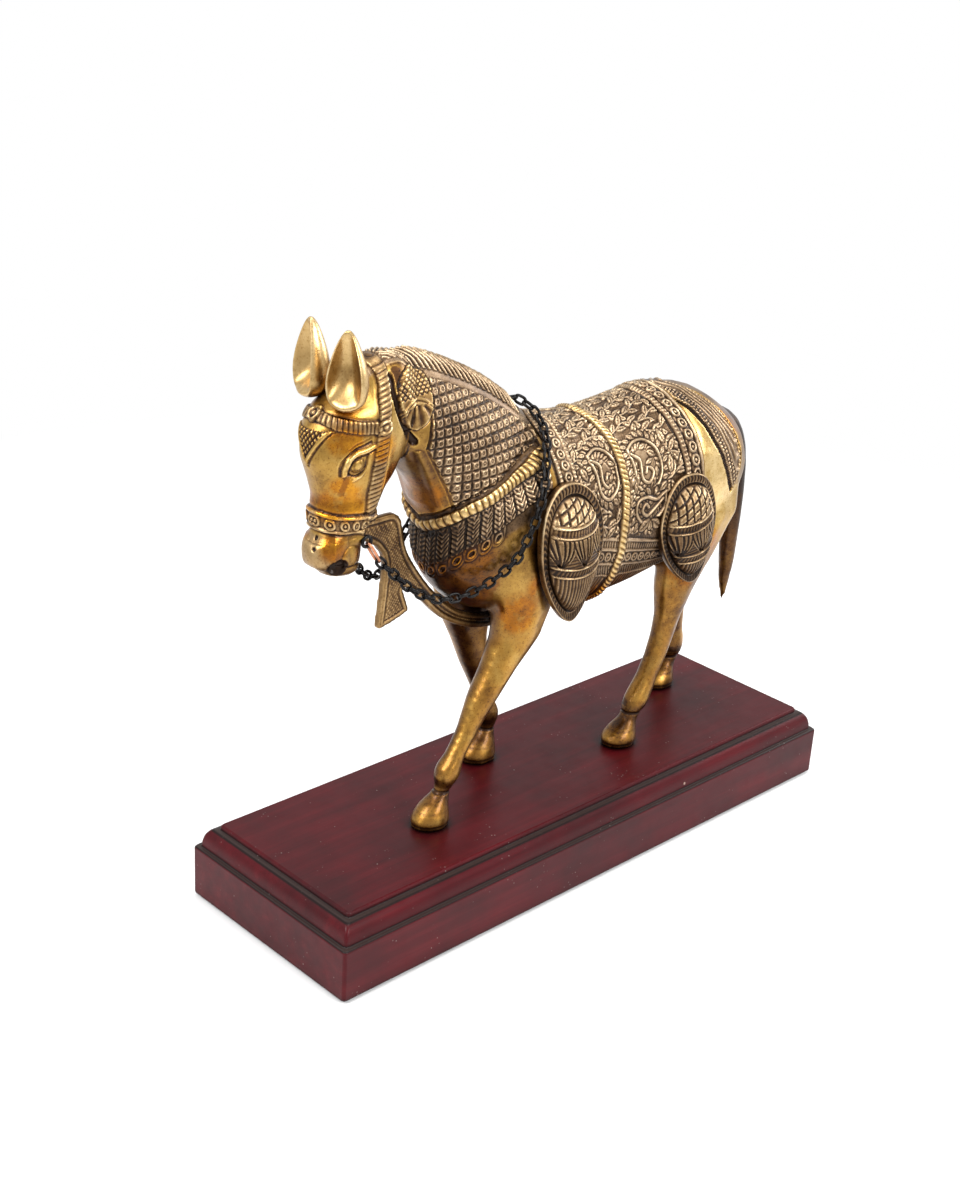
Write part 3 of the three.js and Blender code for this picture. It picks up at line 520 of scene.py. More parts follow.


# Heights of the flats beside the base's moulding, which hold dirt with painted shade along their edges and
# dust with a painted sheen on them, and the place of a chip
WOOD_LEDGES = (25, 33.6)
WOOD_CHIP = (-53.9, 47.9, 27.2)
MAHOGANY = [
    (0.25, (0.036, 0.0012, 0.0030)),
    (0.55, (0.062, 0.0024, 0.0050)),
    (0.8, (0.098, 0.0055, 0.0085)),
]
DARK_BLOTCH, DARK_PORE = (0.020, 0.0030, 0.0040), (0.018, 0.0015, 0.0025)
CORNER_DIRT_AND_SHADE, LEDGE_DIRT_AND_SHADE = (0.004, 0.001, 0.001), (0.008, 0.003, 0.003)
LEDGE_DUST_AND_SHEEN, DUST, BARE_WOOD = (0.030, 0.019, 0.017), (0.32, 0.26, 0.24), (0.40, 0.27, 0.22)


def lacquered_wood():
    """Red-brown mahogany, grain along the board, satin lacquer, dirt and painted shade in its grooves and
    along its ledges, a painted sheen with dust on the ledges, and a little dust.
    """
    s = Shader("mahogany")
    grain = s.noise(170, 6, (0.05, 1, 1), 0.62)
    pores = s.noise(900, 2, (0.03, 1, 1))
    colour = s.ramp(grain, MAHOGANY)
    colour = s.mix(s.ranged(s.noise(24, 5), 0.45, 0.68, 0, 0.6), colour, DARK_BLOTCH)
    colour = s.mix(s.ranged(pores, 0.6, 0.75, 0, 0.35), colour, DARK_PORE)
    # Dirt and painted shade where the moulding's corners close in
    colour = s.mix(s.ranged(s.openness(4), 0.5, 0.9, 0.95, 0), colour, CORNER_DIRT_AND_SHADE)
    height = s.node("ShaderNodeSeparateXYZ", {0: s.place}).outputs["Z"]
    # Along each ledge: a dark line of dirt and painted shade, and a grey line of dust with a painted sheen
    for ledge in WOOD_LEDGES:
        off = s.math("ABSOLUTE", s.math("SUBTRACT", height, ledge * MM), 0)
        colour = s.mix(s.ranged(off, 0.8 * MM, 0.4 * MM), colour, LEDGE_DIRT_AND_SHADE)
        colour = s.mix(s.ranged(off, 0.25 * MM, 0.1 * MM), colour, LEDGE_DUST_AND_SHEEN)
    dust = s.math("MULTIPLY", s.specks(420, 0.15), s.ranged(s.noise(60), 0.55, 0.64), True)
    colour = s.mix(s.math("MULTIPLY", dust, 0.5), colour, DUST)
    s.set("Base Color", s.mix(s.ranged(s.distance(WOOD_CHIP), 1.1 * MM, 0.7 * MM), colour, BARE_WOOD))
    s.set("Roughness", s.ranged(s.noise(120, 5), 0.3, 0.7, 0.30, 0.42))
    s.set("Specular IOR Level", 0.13)
    s.set("Coat Weight", 0.03)
    s.set("Coat Roughness", 0.2)
    s.bumps(grain, 0.05, 0.2)
    return s.material


def felt_material():
    s = Shader("felt")
    fuzz = s.noise(2500, 4)
    s.set("Base Color", s.mix(fuzz, (0.010, 0.018, 0.012), (0.035, 0.055, 0.038)))
    s.set("Roughness", 0.95)
    s.set("Sheen Weight", 0.3)
    s.bumps(fuzz, 0.2, 0.6)
    return s.material


# The horse's skin: one smooth body from the castings, then finer squares for the relief

SKIN_VOXEL = 1.6
SKIN_SWELL = 0.3
SKIN_ROUNDS = 30
SKIN_LEVELS = 2
# The barrel's section, for measuring down the flank from the middle of the back
BARREL_MIDDLE_Z = 124
BARREL_HALF_HEIGHT = 44
BARREL_HALF_WIDTH = 28.5
BARREL_RADIUS = 36


def nearest_castings(points):
    """For each point the number of the casting whose CAD surface lies nearest."""
    spots = [Vector(p) for p in in_frame(points)]
    gaps = [[tree.find_nearest(spot)[3] for spot in spots] for tree in map(surface_of, HORSE)]
    return np.array(gaps).argmin(0)


def horse_skin():
    """Returns the fine mesh, with an attribute for each casting that says how far a point belongs to it."""
    coarse = remeshed(HORSE, SKIN_VOXEL, SKIN_SWELL)
    nearest = nearest_castings(coordinates(coarse))
    relax(coarse, SKIN_ROUNDS)
    for number, name in enumerate(HORSE):
        attribute(coarse, name, (nearest == number).astype(float))
    return subdivided(coarse, SKIN_LEVELS)


skin = horse_skin()
points = coordinates(skin)
normals = normals_of(skin)
edges = edges_of(skin)
x, y, z = points.T
side = abs(y)
arc = BARREL_RADIUS * np.arctan2(side * BARREL_HALF_HEIGHT / BARREL_HALF_WIDTH, z - BARREL_MIDDLE_Z)
share_of = {name: fetched(skin.attributes[name].data, "value", 1)[:, 0].astype(float) for name in HORSE}
on_body = share_of["body_casting"] > 0.5
on_head = share_of["head_casting"] > 0.5
on_tail = share_of["tail"] > 0.5
on_leg = ~(on_body | on_head | on_tail)

# What the ornament sets: height over the skin (mm), lighter or darker tone, chased ground and amber stain
relief, shade, work, stain = np.zeros((4, len(points)))


def emboss(where, height=0, tone=0):
    """Raises and lightens the skin where the mask is set; less than 0 cuts and darkens."""
    relief[:] += np.where(where, height, 0)
    shade[:] += np.where(where, tone, 0)


def press(patch, height=1, tone=0):
    """Gives a patch's work to the skin."""
    relief[patch.rows] += height * patch.height
    shade[patch.rows] += tone * patch.height


def cut_groove(where, distance, half, depth, dark=0.078):
    """A dark groove along the line where the distance is 0."""
    groove = bump(distance, half)
    emboss(where, -depth * groove, -dark * groove)


def carved(where, v, line, width, depth, dark):
    """A dark line cut along a curve in x and v."""
    cut = Patch(where, x, v)
    cut.stroke(line, width, 1)
    press(cut, -depth, -dark)


def rosettes(where, u, v, spots, radius, height):
    row = Patch(where, u, v)
    for spot in spots:
        row.rosette(*spot, radius, height)
    press(row)


def far_from(spot):
    """Distance from a place, or from its mirror image on the other side."""
    return np.sqrt((x - spot[0]) ** 2 + (side - spot[1]) ** 2 + (z - spot[2]) ** 2)


# Neck

# The collar rope goes round the neck: its height at angles from the front (0) to the back (pi)
COLLAR_ANGLES = [0, 0.33, 0.79, 1.41, 2.14, 2.46, 3.14]
COLLAR_HEIGHTS = [133, 137, 144.5, 149.7, 155.5, 158.9, 162]
COLLAR_MIDDLE_X = 48
COLLAR_RADIUS = 22
COLLAR_SLOPE = 0.9
CLOTH_FRONT_X = 24.5
ROPE_HALF = 2.5
ROPE_PITCH = 2.4
ROPE_GROOVE = 1.1
neck_turn = np.arctan2(side, x - COLLAR_MIDDLE_X)
round_neck = COLLAR_RADIUS * neck_turn
over_rope = COLLAR_SLOPE * (z - np.interp(neck_turn, COLLAR_ANGLES, COLLAR_HEIGHTS))
on_neck = on_body & (x > CLOTH_FRONT_X)


def collar_rope():
    ribs = reeds((round_neck + 0.35 * over_rope) / ROPE_PITCH)
    rope = on_neck & (abs(over_rope) < ROPE_HALF)
    emboss(rope, bump(over_rope, ROPE_HALF) * (0.1 + ribs), 0.14 - 0.5 * (1 - ribs))
    cut_groove(on_neck, over_rope - ROPE_HALF - ROPE_GROOVE, 1.5, 0.9, 0.15)
    cut_groove(on_neck, over_rope + ROPE_HALF + ROPE_GROOVE, 1.5, 0.8, 0.12)


CREST_X = [28.7, 46.7, 69, 103]
CREST_Z = [177, 189, 201, 211]
MANE_BACK_X, MANE_FRONT_X = 30, 104
MANE_HALF = 6.2
MANE_DEEP = 9
MANE_PITCH = 3.0


def mane():
    """A clipped mane: slanted ribs on the crest with a raised line below them."""
    near_crest = z > np.interp(x, CREST_X, CREST_Z) - MANE_DEEP
    edge = (on_neck | on_head) & near_crest & within(x, MANE_BACK_X, MANE_FRONT_X + 2)
    ribs = wave((x + 1.5 * side) / MANE_PITCH)
    emboss(edge & (x < MANE_FRONT_X) & (side < MANE_HALF), 0.9 * ribs, -0.06 - 0.12 * (1 - ribs))
    below = side - MANE_HALF - 0.7
    emboss(edge, 0.3 * bump(below, 0.9), -0.12 * bump(below, 1.4))
    return near_crest & (side < MANE_HALF + 1.6)


LATTICE_PITCH_X = 4.4
LATTICE_PITCH_Z = 4.0
LATTICE_AT = (74.5, 176)
LATTICE_RING = 1.1
LATTICE_FRONT_Z = [145, 152.6, 163, 172, 182, 205]
LATTICE_FRONT_X = [71.5, 74.6, 80.4, 86, 84.5, 83]
past_lattice = x - np.interp(z, LATTICE_FRONT_Z, LATTICE_FRONT_X)


def lattice(taken):
    """Square bosses with a ring and dot each, between dark level and upright lines."""
    where = on_neck & ~taken & (over_rope > ROPE_HALF + 1.2) & (past_lattice < 0)
    u = ((x - LATTICE_AT[0]) / LATTICE_PITCH_X) % 1 - 0.5
    v = ((z - LATTICE_AT[1]) / LATTICE_PITCH_Z) % 1 - 0.5
    du = abs(abs(u) - 0.5) * LATTICE_PITCH_X
    dv = abs(abs(v) - 0.5) * LATTICE_PITCH_Z
    far = np.hypot(u * LATTICE_PITCH_X, v * LATTICE_PITCH_Z)
    boss = step(0.15, 0.7, np.minimum(du, dv))
    dots = np.maximum(bump(far - LATTICE_RING, 0.45), bump(far, 0.5))
    emboss(where, 0.42 * boss + 0.36 * dots * boss, 0.03 * dots - 0.05 * (1 - boss) - 0.1)
    return where


FOLD_PITCH = 4.2
FOLDS_TOP_Z, FOLDS_GROOVE_TOP_Z = 172, 186


def throat_folds():
    """Soft folds on the bare throat in front of the lattice, with a groove along its edge."""
    throat = on_neck & (z < FOLDS_TOP_Z) & (over_rope > 4) & (past_lattice > 0)
    emboss(throat, 0.7 * wave(past_lattice / FOLD_PITCH), -0.1)
    cut_groove(on_neck & (z < FOLDS_GROOVE_TOP_Z) & (over_rope > 3), past_lattice - 0.6, 0.7, 0.5)


MEDALLION = (92.6, 194)
MEDALLION_HALF = 10
MEDALLION_RISE, MEDALLION_DROP = 12, 12.5
MEDALLION_FRONT_X = 102
MEDALLION_BANDS = (-0.6, -2.4)
MEDALLION_NET = 2.6
MEDALLION_INNER = 6.6
PETALS = 9
PETALS_TOP, PETALS_MIDDLE = -3.4, 4


def medallion():
    """A round plaque on the neck behind the ear: a hatched dome above, two bands, and petals below."""
    across = x - MEDALLION[0]
    up = z - MEDALLION[1]
    inside = MEDALLION_HALF * bump(up, np.where(up > 0, MEDALLION_RISE, MEDALLION_DROP)) - abs(across)
    near = (on_neck | on_head) & (x < MEDALLION_FRONT_X) & (side > MEDALLION_INNER)
    near &= within(up, -MEDALLION_DROP, MEDALLION_RISE)
    where = near & (inside > 0)
    emboss(where, 1.1 * step(0, 1.2, inside))
    hatch = crossed(across + up, across - up, MEDALLION_NET, 0.5)
    emboss(where & (up > 0), -0.4 * hatch, -0.25 * hatch)
    fan = wave(PETALS * np.arctan2(across, up - PETALS_MIDDLE) / np.pi)
    emboss(where & (up < PETALS_TOP) & (inside > 1.2), 0.6 * fan - 0.3, -0.2 * (1 - fan))
    for band in MEDALLION_BANDS:
        emboss(where, 0.5 * bump(up - band + 0.06 * across ** 2, 0.7))
    cut_groove(near, inside + 0.2, 0.7, 0.4)
    return where


FEATHER_PITCH = 5.4
FEATHER_LONG, FEATHER_LOSS = 13, 5.5
BARB_PITCH = 1.9
HEM_STUDS = 6
HEM_DEEP = 9
HEM_STUD, HEM_PIT = 2.0, 1.1
FEATHERS_LOW_Z, HEM_LOW_Z = 112, 104
# One scallop of the hem, about its stud
SCALLOP = [(-2.9, 0.4), (-2.2, 4.2), (0, 5.6), (2.2, 4.2), (2.9, 0.4)]


def collar_feathers():
    """Below the rope hangs a row of feathers with slanted barbs, then a scalloped hem with ringed studs."""
    drop = -over_rope - ROPE_HALF - 1
    across = ((round_neck / FEATHER_PITCH) % 1 - 0.5) * FEATHER_PITCH
    below = drop - FEATHER_LONG + FEATHER_LOSS * step(10, 55, round_neck)
    barbs = reeds((drop + 1.1 * abs(across)) / BARB_PITCH)
    vein = bump(across, 0.5)
    gap = bump(abs(across) - FEATHER_PITCH / 2, 0.55)
    # Painted shade on the front feathers, fading toward the side of the neck (lit, and the -0.18 below)
    lit = 0.2 * step(8, 34, round_neck)
    feathers = on_neck & (drop > 0) & (below < 0) & (z > FEATHERS_LOW_Z)
    emboss(feathers, 0.8 * barbs + 0.3 * vein + 0.2 - 0.7 * gap, lit - 0.18 - 0.3 * gap - 0.45 * (1 - barbs))
    hem = Patch(on_neck & within(below, -2, HEM_DEEP) & (z > HEM_LOW_Z), round_neck, below)
    studs = [((number + 0.5) * FEATHER_PITCH, 2.4 + 0.7 * (number % 2)) for number in range(HEM_STUDS)]
    for u, v in studs:
        hem.rosette(u, v, HEM_STUD, 0.6)
        hem.stroke(moved(SCALLOP, u, 0), 1.1, 0.45)
    press(hem)
    shade[hem.rows] -= 0.22 * step(HEM_DEEP, 3, hem.v)
    for u, v in studs:
        pit = bump(np.hypot(round_neck - u, below - v), HEM_PIT)
        emboss(on_neck, -1.3 * pit, -0.7 * pit)


# Saddle cloth, in x and the arc down the flank; both flanks are the same

GIRTH_ARC = [0, 4, 11, 20, 28, 36, 43, 50, 57, 64, 80]
GIRTH_X = [-9, -9.4, -11.1, -14.4, -16.7, -17.6, -18.2, -17.8, -17, -17, -16.7]
GIRTH_HALF = 2.1
GIRTH_PITCH = 2.1
GIRTH_LOW_ARC = 110
REAR_ARC = [0, 10, 20, 29, 37, 44, 70]
REAR_X = [-47.5, -48.6, -51.4, -54.7, -56.7, -57.8, -58.5]
FRONT_ARC = [0, 24, 33, 60]
FRONT_X = [18, 16.8, 15.6, 12]
# The bands along the lower edge sink toward the rear
BAND_SLOPE = 0.2
BAND_LEVEL_X = -21.7

past_girth = x - np.interp(arc, GIRTH_ARC, GIRTH_X)
past_rear = x - np.interp(arc, REAR_ARC, REAR_X)
past_front = x - np.interp(arc, FRONT_ARC, FRONT_X)
band_arc = arc + BAND_SLOPE * (x - BAND_LEVEL_X)
off_girth = abs(past_girth) > GIRTH_HALF + 0.5


def girth():
    where = on_body & (arc < GIRTH_LOW_ARC)
    ridge = bump(past_girth, GIRTH_HALF)
    ribs = reeds((arc + 0.5 * past_girth) / GIRTH_PITCH)
    emboss(where, ridge * (0.3 + 0.8 * ribs), ridge * (0.16 - 0.4 * (1 - ribs)))
    cut_groove(where, past_girth - 2.9, 0.9, 0.5)
    cut_groove(where, past_girth + 2.7, 0.7, 0.35)


BORDER_ARC = 72
BORDER_STUDS = 14
FRONT_STUD_PITCH, REAR_STUD_PITCH = 4.7, 5.1
REAR_STUDS_AT = -5.2
FRONT_STUD, REAR_STUD = 2.25, 2.45
FRONT_LINES = (3.9, -4.0)
REAR_LIP = -9.6
REAR_GROOVES = (2.2, -2.1, -8.2, -11.2)


def ribbed_line(where, distance, half, pitch, height):
    ridge = bump(distance, half)
    emboss(where, height * ridge * (0.55 + 0.45 * wave(arc / pitch)), 0.06 * ridge)


def borders():
    """Rows of rosettes between ribbed lines along the cloth's front and rear edges."""
    where = on_body & (arc < BORDER_ARC)
    spots = [(0, (number + 0.5) * FRONT_STUD_PITCH) for number in range(BORDER_STUDS)]
    rosettes(where & (abs(past_front) < 4), past_front, arc, spots, FRONT_STUD, 0.8)
    for offset in FRONT_LINES:
        ribbed_line(where, past_front - offset, 1.0, 1.7, 0.9)
        cut_groove(where, past_front - offset * 1.38, 0.6, 0.3, 0.12)
    spots = [(REAR_STUDS_AT, 1.7 + REAR_STUD_PITCH * number) for number in range(BORDER_STUDS)]
    rosettes(where & within(past_rear, -9, -2), past_rear, arc, spots, REAR_STUD, 0.9)
    ribbed_line(where, past_rear, 1.5, 1.8, 1.0)
    ribbed_line(where, past_rear - REAR_LIP, 1.1, 60, 1.0)
    for offset in REAR_GROOVES:
        cut_groove(where, past_rear - offset, 0.7, 0.45)
    emboss(where & within(past_rear, -11, 2), tone=-0.06)


PAISLEYS = [
    [(-23, 31), (-28, 28.2), (-34, 28.6), (-39.5, 33.5), (-41.5, 41), (-38, 47), (-31, 49), (-26, 45.5),
     (-25.2, 38.5), (-23, 31)],
    [(1.5, 29), (-5, 26.6), (-11, 29.5), (-14, 36), (-13.5, 43.5), (-8, 47.5), (-3, 44.5),
     (-1.8, 37), (1.5, 29)],
    [(-43, 50.5), (-42, 56), (-36, 60), (-29, 60), (-24.5, 56), (-25.5, 51.8), (-31, 50.8), (-37, 52.5),
     (-43, 50.5)],
]
SPIRALS = [
    [(-24.5, 33), (-29, 36.5), (-29, 43.5), (-33, 45.5), (-36, 42), (-33, 39.3), (-31.6, 41.6)],
    [(0, 31), (-4.5, 34), (-5, 40.5), (-8, 43), (-10.8, 40), (-8.6, 37.8), (-7.2, 39.6)],
    [(-41, 52.8), (-36, 55.5), (-31, 57.5), (-28, 55.4), (-30, 53.2), (-32, 54.6)],
]
SCROLL_WIDTH, SCROLL_HEIGHT, SCROLL_CLEAR = 1.5, 1.0, 0.5
# Place, length, width and angle of each larger leaf
MOTIF_LEAVES = [
    (-34, 33.5, 6, 3.2, 150), (-30, 32, 5, 2.8, -160), (-38.5, 40, 5, 2.6, 80), (-27, 41, 5, 2.4, 80),
    (-36.5, 37, 5, 2.6, 20), (-9.5, 33, 5, 2.6, 150), (-11.5, 38, 4.5, 2.4, 60), (-4.5, 33.5, 4, 2.2, -150),
    (-27, 63, 8, 4.6, -150), (-41, 63.5, 8, 4.6, -30), (-34, 64, 4.5, 3.4, -90), (-45.5, 33, 8, 4.2, -75),
    (-46.5, 44.5, 8, 4.2, -100), (-44, 47, 6, 3.4, 30), (7, 33, 7, 4, 120), (6, 41, 7, 4, 100),
]
LEAF_HEIGHT = 0.9
VINES = 10
VINE_PITCH = 6.8
VINE_LEAF_PITCH = 2.9
VINE_LEAN = 33
VINE_ENDS = (20, -66)
VINE_SLOPE, VINE_TURN, VINE_SWAY = 0.12, 0.3, 1.7
VINE_LEAF_LENGTH, VINE_LEAF_WIDTH, VINE_LEAF_HEIGHT = 7.6, 3.5, 0.95
FRINGE_PITCH = 2.7
# Where the field ends below, behind and in front, and how far the vines keep from a paisley's middle
FIELD_LOW_ARC, FIELD_REAR, FIELD_FRONT = 64.5, 2.4, -4.9
VINE_CLEAR = (6, 8)
# Side of the scroll, length, width, turn from straight out, and height of the small leaves along it
OUTER_LEAVES = (1, 4.8, 2.7, 38, 0.9)
INNER_LEAVES = (-1, 4.2, 2.2, 142, 0.75)


def leafy_edge(patch, outline, leaves):
    """Small leaves swept along the outside or the inside of a scroll."""
    way, length, width, turn, height = leaves
    line = smooth_line(outline)
    run = np.concatenate([[0], np.cumsum(np.linalg.norm(np.diff(line, axis=0), axis=1))])
    middle = line.mean(0)
    for at in np.arange(0.5 * FRINGE_PITCH, run[-1], FRINGE_PITCH):
        spot = np.array([np.interp(at, run, line[:, 0]), np.interp(at, run, line[:, 1])])
        out = math.degrees(math.atan2(*(spot - middle)[::-1]))
        root = spot + way * 0.9 * (spot - middle) / np.linalg.norm(spot - middle)
        patch.leaf(*root, length, width, out + turn, height)


def vine(patch, number):
    """A wavy stem over the cloth, with long leaves swept back on both sides."""
    ahead = np.arange(*VINE_ENDS, -VINE_LEAF_PITCH)
    phase = VINE_TURN * ahead + 2.1 * number
    down = 3 + VINE_PITCH * number + VINE_SLOPE * ahead + VINE_SWAY * np.sin(phase)
    slope = VINE_SLOPE + VINE_TURN * VINE_SWAY * np.cos(phase)
    for order, (u, v, rise) in enumerate(zip(ahead, down, slope)):
        back = math.degrees(math.atan2(-rise, -1))
        angle = back + (VINE_LEAN if order % 2 else -VINE_LEAN)
        patch.leaf(u, v, VINE_LEAF_LENGTH, VINE_LEAF_WIDTH, angle, VINE_LEAF_HEIGHT)
    patch.stroke(np.stack([ahead, down], 1)[::2], 0.9, 0.8)


def cloth_field():
    """Paisleys with spirals and leaves, over vines that run along the cloth."""
    field = on_body & (band_arc < FIELD_LOW_ARC) & (past_rear > FIELD_REAR) & (past_front < FIELD_FRONT)
    patch = Patch(field & off_girth, x, arc)
    for number in range(VINES):
        vine(patch, number)
    for outline, spiral in zip(PAISLEYS, SPIRALS):
        middle_u, middle_v = np.mean(outline, 0)
        patch.height *= step(*VINE_CLEAR, np.hypot(patch.u - middle_u, patch.v - middle_v))
        leafy_edge(patch, outline, OUTER_LEAVES)
        patch.plateau(outline, 0.2)
        leafy_edge(patch, outline, INNER_LEAVES)
        for line in (outline, spiral):
            patch.stroke(line, SCROLL_WIDTH, SCROLL_HEIGHT, 0, SCROLL_CLEAR)
    for leaf in MOTIF_LEAVES:
        patch.leaf(*leaf, LEAF_HEIGHT)
    ground = 0.12 * wave(patch.u / 1.5) * wave(patch.v / 1.5)
    shade[patch.rows] += np.where(patch.height > 0.12, 0.05, -0.1)
    patch.height = np.maximum(patch.height, ground)
    press(patch)


# Arcs of the ridges between the bands along the cloth's lower edge
BAND_LINES = (65.2, 69.2, 75.2, 81)
RIB_BAND, STUD_BAND, FRINGE_BAND, BELLY_BAND = (66, 68.5), (69.8, 74.6), (75.8, 80.6), (81.6, 96)
DARK_BAND = (50, 96)
BAND_STUDS = 20
BAND_STUD = 2.2
BAND_STUD_PITCH = 4.7
BAND_STUDS_AT = (14, 72.2)


def lower_bands():
    """Bands along the cloth's lower edge: ribs, rosettes and fringe, with faint ribs under the belly."""
    where = on_body & (past_rear > -9) & (past_front < 0) & off_girth
    for line in BAND_LINES:
        ridge = bump(band_arc - line, 0.75)
        emboss(where, 0.8 * ridge, 0.05 * ridge)
    emboss(where & within(band_arc, *RIB_BAND), 0.5 * wave(x / 1.6))
    front, level = BAND_STUDS_AT
    spots = [(front - BAND_STUD_PITCH * number, level) for number in range(BAND_STUDS)]
    rosettes(where & within(band_arc, *STUD_BAND), x, band_arc, spots, BAND_STUD, 0.7)
    emboss(where & within(band_arc, *FRINGE_BAND), 0.55 * wave((x + 0.5 * band_arc) / 1.7))
    emboss(where & within(band_arc, *BELLY_BAND), 0.3 * wave(x / 2.1))
    emboss(where & within(band_arc, *DARK_BAND), tone=-0.09)


CRUPPER_EDGE = [(-60.7, 13.8), (-69.5, 21.8), (-76, 32.4), (-82, 41.8), (-87.5, 51.7), (-93, 59)]
CRUPPER_REAR = [(-66, 3), (-75, 11), (-83, 18), (-90, 25.5), (-95, 37), (-96.5, 48), (-93, 59)]
CRUPPER_BAND = 5.5
HATCH_PITCH, FLOW_PITCH = 1.9, 3.4
CROUP_START = -12
# Middle of the painted highlight on the bare hip
HIP_HIGHLIGHT = (-76, 27, 130)


def crupper():
    """A pointed cloth on the croup: a hatched band and flowing lines in a ribbed edge, with a slit along it.

    The bare hip before it gets a painted highlight, and the rump behind it is dark."""
    edge_x, edge_arc = np.transpose(CRUPPER_EDGE)
    rear_x, rear_arc = np.transpose(CRUPPER_REAR)
    front_limit = np.interp(-x, -edge_x, edge_arc)
    rear_limit = np.interp(arc, rear_arc, rear_x)
    where = on_body & (x < -59) & (past_rear < CROUP_START) & (arc < front_limit) & (x > rear_limit)
    behind = 0.75 * (front_limit - arc)
    emboss(where, 0.3)
    hatch = wave((x + 0.4 * arc) / HATCH_PITCH) * wave((0.5 * x - arc) / HATCH_PITCH)
    emboss(where & within(behind, 1.6, CRUPPER_BAND), 0.7 * hatch, -0.24 * (1 - hatch))
    flow = wave((behind + 1.6 * np.sin(arc / 7)) / FLOW_PITCH) ** 2
    emboss(where & (behind >= CRUPPER_BAND), 0.55 * flow, 0.16 * flow - 0.12)
    croup_skin = on_body & (x < -57) & (past_rear < CROUP_START)
    rim = Patch(croup_skin, x, arc)
    for line in (CRUPPER_EDGE, CRUPPER_REAR):
        rim.stroke(line, 2.0, 1.0, 1.8)
    relief[rim.rows] = np.maximum(relief[rim.rows], rim.height)
    carved(croup_skin, arc, moved(CRUPPER_EDGE, -1.2, 2.4), 1.9, 1.5, 0.8)
    carved(croup_skin, arc, moved(CRUPPER_REAR, -2.6, 0), 2.2, 0.7, 0.4)
    # Painted highlight on the bare hip
    emboss((past_rear < CROUP_START) & (arc > front_limit), tone=0.42 * (1 - step(14, 42, far_from(HIP_HIGHLIGHT))))
    shade[:] -= 0.2 * step(0, 14, rear_limit - x) * step(-64, -74, x) * step(92, 126, z)
    return where


# Head

STRAP_Z = [152, 163, 177, 188, 198, 205, 209]
STRAP_X = [112.2, 112, 111.5, 110.5, 109.3, 107.8, 108]
BROW_X = [112, 120.8, 129.8, 134]
BROW_Z = [186.5, 187.5, 189.8, 192.5]
NOSE_X = [113, 127, 132]
NOSE_Z = [146.3, 148, 149.2]
STRAP_PITCH = 2.0
STRAP_HALF, BROW_HALF = 2.6, 2.5
STRAP_LOW_Z = 147
BROW_BACK_X, NOSE_BACK_X = 109, 104
NOSE_STUD, TEMPLE_RADIUS, FRONT_STUD_RADIUS = 2.4, 3.2, 2.8
NOSE_HALF = 4
NOSE_STUDS = 9
NOSE_STUD_PITCH = 6.4
TEMPLE_BOSS = (110.6, 186.6)
FRONT_STUD_Z = 191.5
HEAD_MIDDLE_X, HEAD_RADIUS = 116, 16
round_head = HEAD_RADIUS * np.arctan2(side, x - HEAD_MIDDLE_X)
past_strap = x - np.interp(z, STRAP_Z, STRAP_X)
over_brow = z - np.interp(x, BROW_X, BROW_Z)
over_nose = z - np.interp(x, NOSE_X, NOSE_Z)


def bridle():
    """Ribbed straps, a noseband with raised edges and rosettes, a boss at the temple and a stud in front."""
    cheek = on_head & (z > STRAP_LOW_Z) & (abs(past_strap) < STRAP_HALF)
    brow = on_head & (x > BROW_BACK_X) & (abs(over_brow) < BROW_HALF) & ~cheek
    nose = on_head & (x > NOSE_BACK_X) & (abs(over_nose) < NOSE_HALF)
    for strap, off, half, along in (
        (cheek, past_strap, 3.2, z + 0.3 * past_strap),
        (brow, over_brow, 3.1, round_head),
    ):
        ribs = reeds(along / STRAP_PITCH)
        emboss(strap, 0.5 * bump(off, half) + 0.5 * ribs, -0.3 * (1 - ribs) - 0.13)
    emboss(nose, 0.5 + 0.75 * bump(abs(over_nose) - 3.2, 0.9))
    spots = [(1 + NOSE_STUD_PITCH * number, 0) for number in range(NOSE_STUDS)]
    rosettes(nose, round_head, over_nose, spots, NOSE_STUD, 0.8)
    rosettes(on_head & (side > 4), x, z, [TEMPLE_BOSS], TEMPLE_RADIUS, 0.7)
    rosettes(on_head & (x > 125), y, z, [(0, FRONT_STUD_Z)], FRONT_STUD_RADIUS, 1.2)
    free = on_head & ~nose
    cut_groove(free & ~brow & (z > 150), abs(past_strap) - 3.1, 0.8, 0.1)
    cut_groove(free & ~cheek & (x > BROW_BACK_X), abs(over_brow) - 2.9, 0.8, 0.1)
    cut_groove(on_head & (x > NOSE_BACK_X), abs(over_nose) - 4.4, 0.9, 0.15)


PENDANT_TOP, PENDANT_TIP, PENDANT_HALF = 186.5, 172, 8.8
PENDANT_NET = 2.2
FOREHEAD_X = 122


def forehead_pendant():
    """A dark netted triangle in a plain raised edge, under the browband."""
    inside = PENDANT_HALF * (z - PENDANT_TIP) / (PENDANT_TOP - PENDANT_TIP) - side
    near = on_head & (x > FOREHEAD_X) & (z < PENDANT_TOP)
    net = np.maximum(wave((side - 0.8 * z) / PENDANT_NET), wave((side + 0.8 * z) / PENDANT_NET))
    middle = step(1.3, 1.8, inside)
    emboss(near & (inside > 0), 0.6 - middle * 0.7 * net, -middle * (0.12 + 0.3 * net))
    cut_groove(near & (z > PENDANT_TIP - 1), inside + 0.4, 0.7, 0.35)


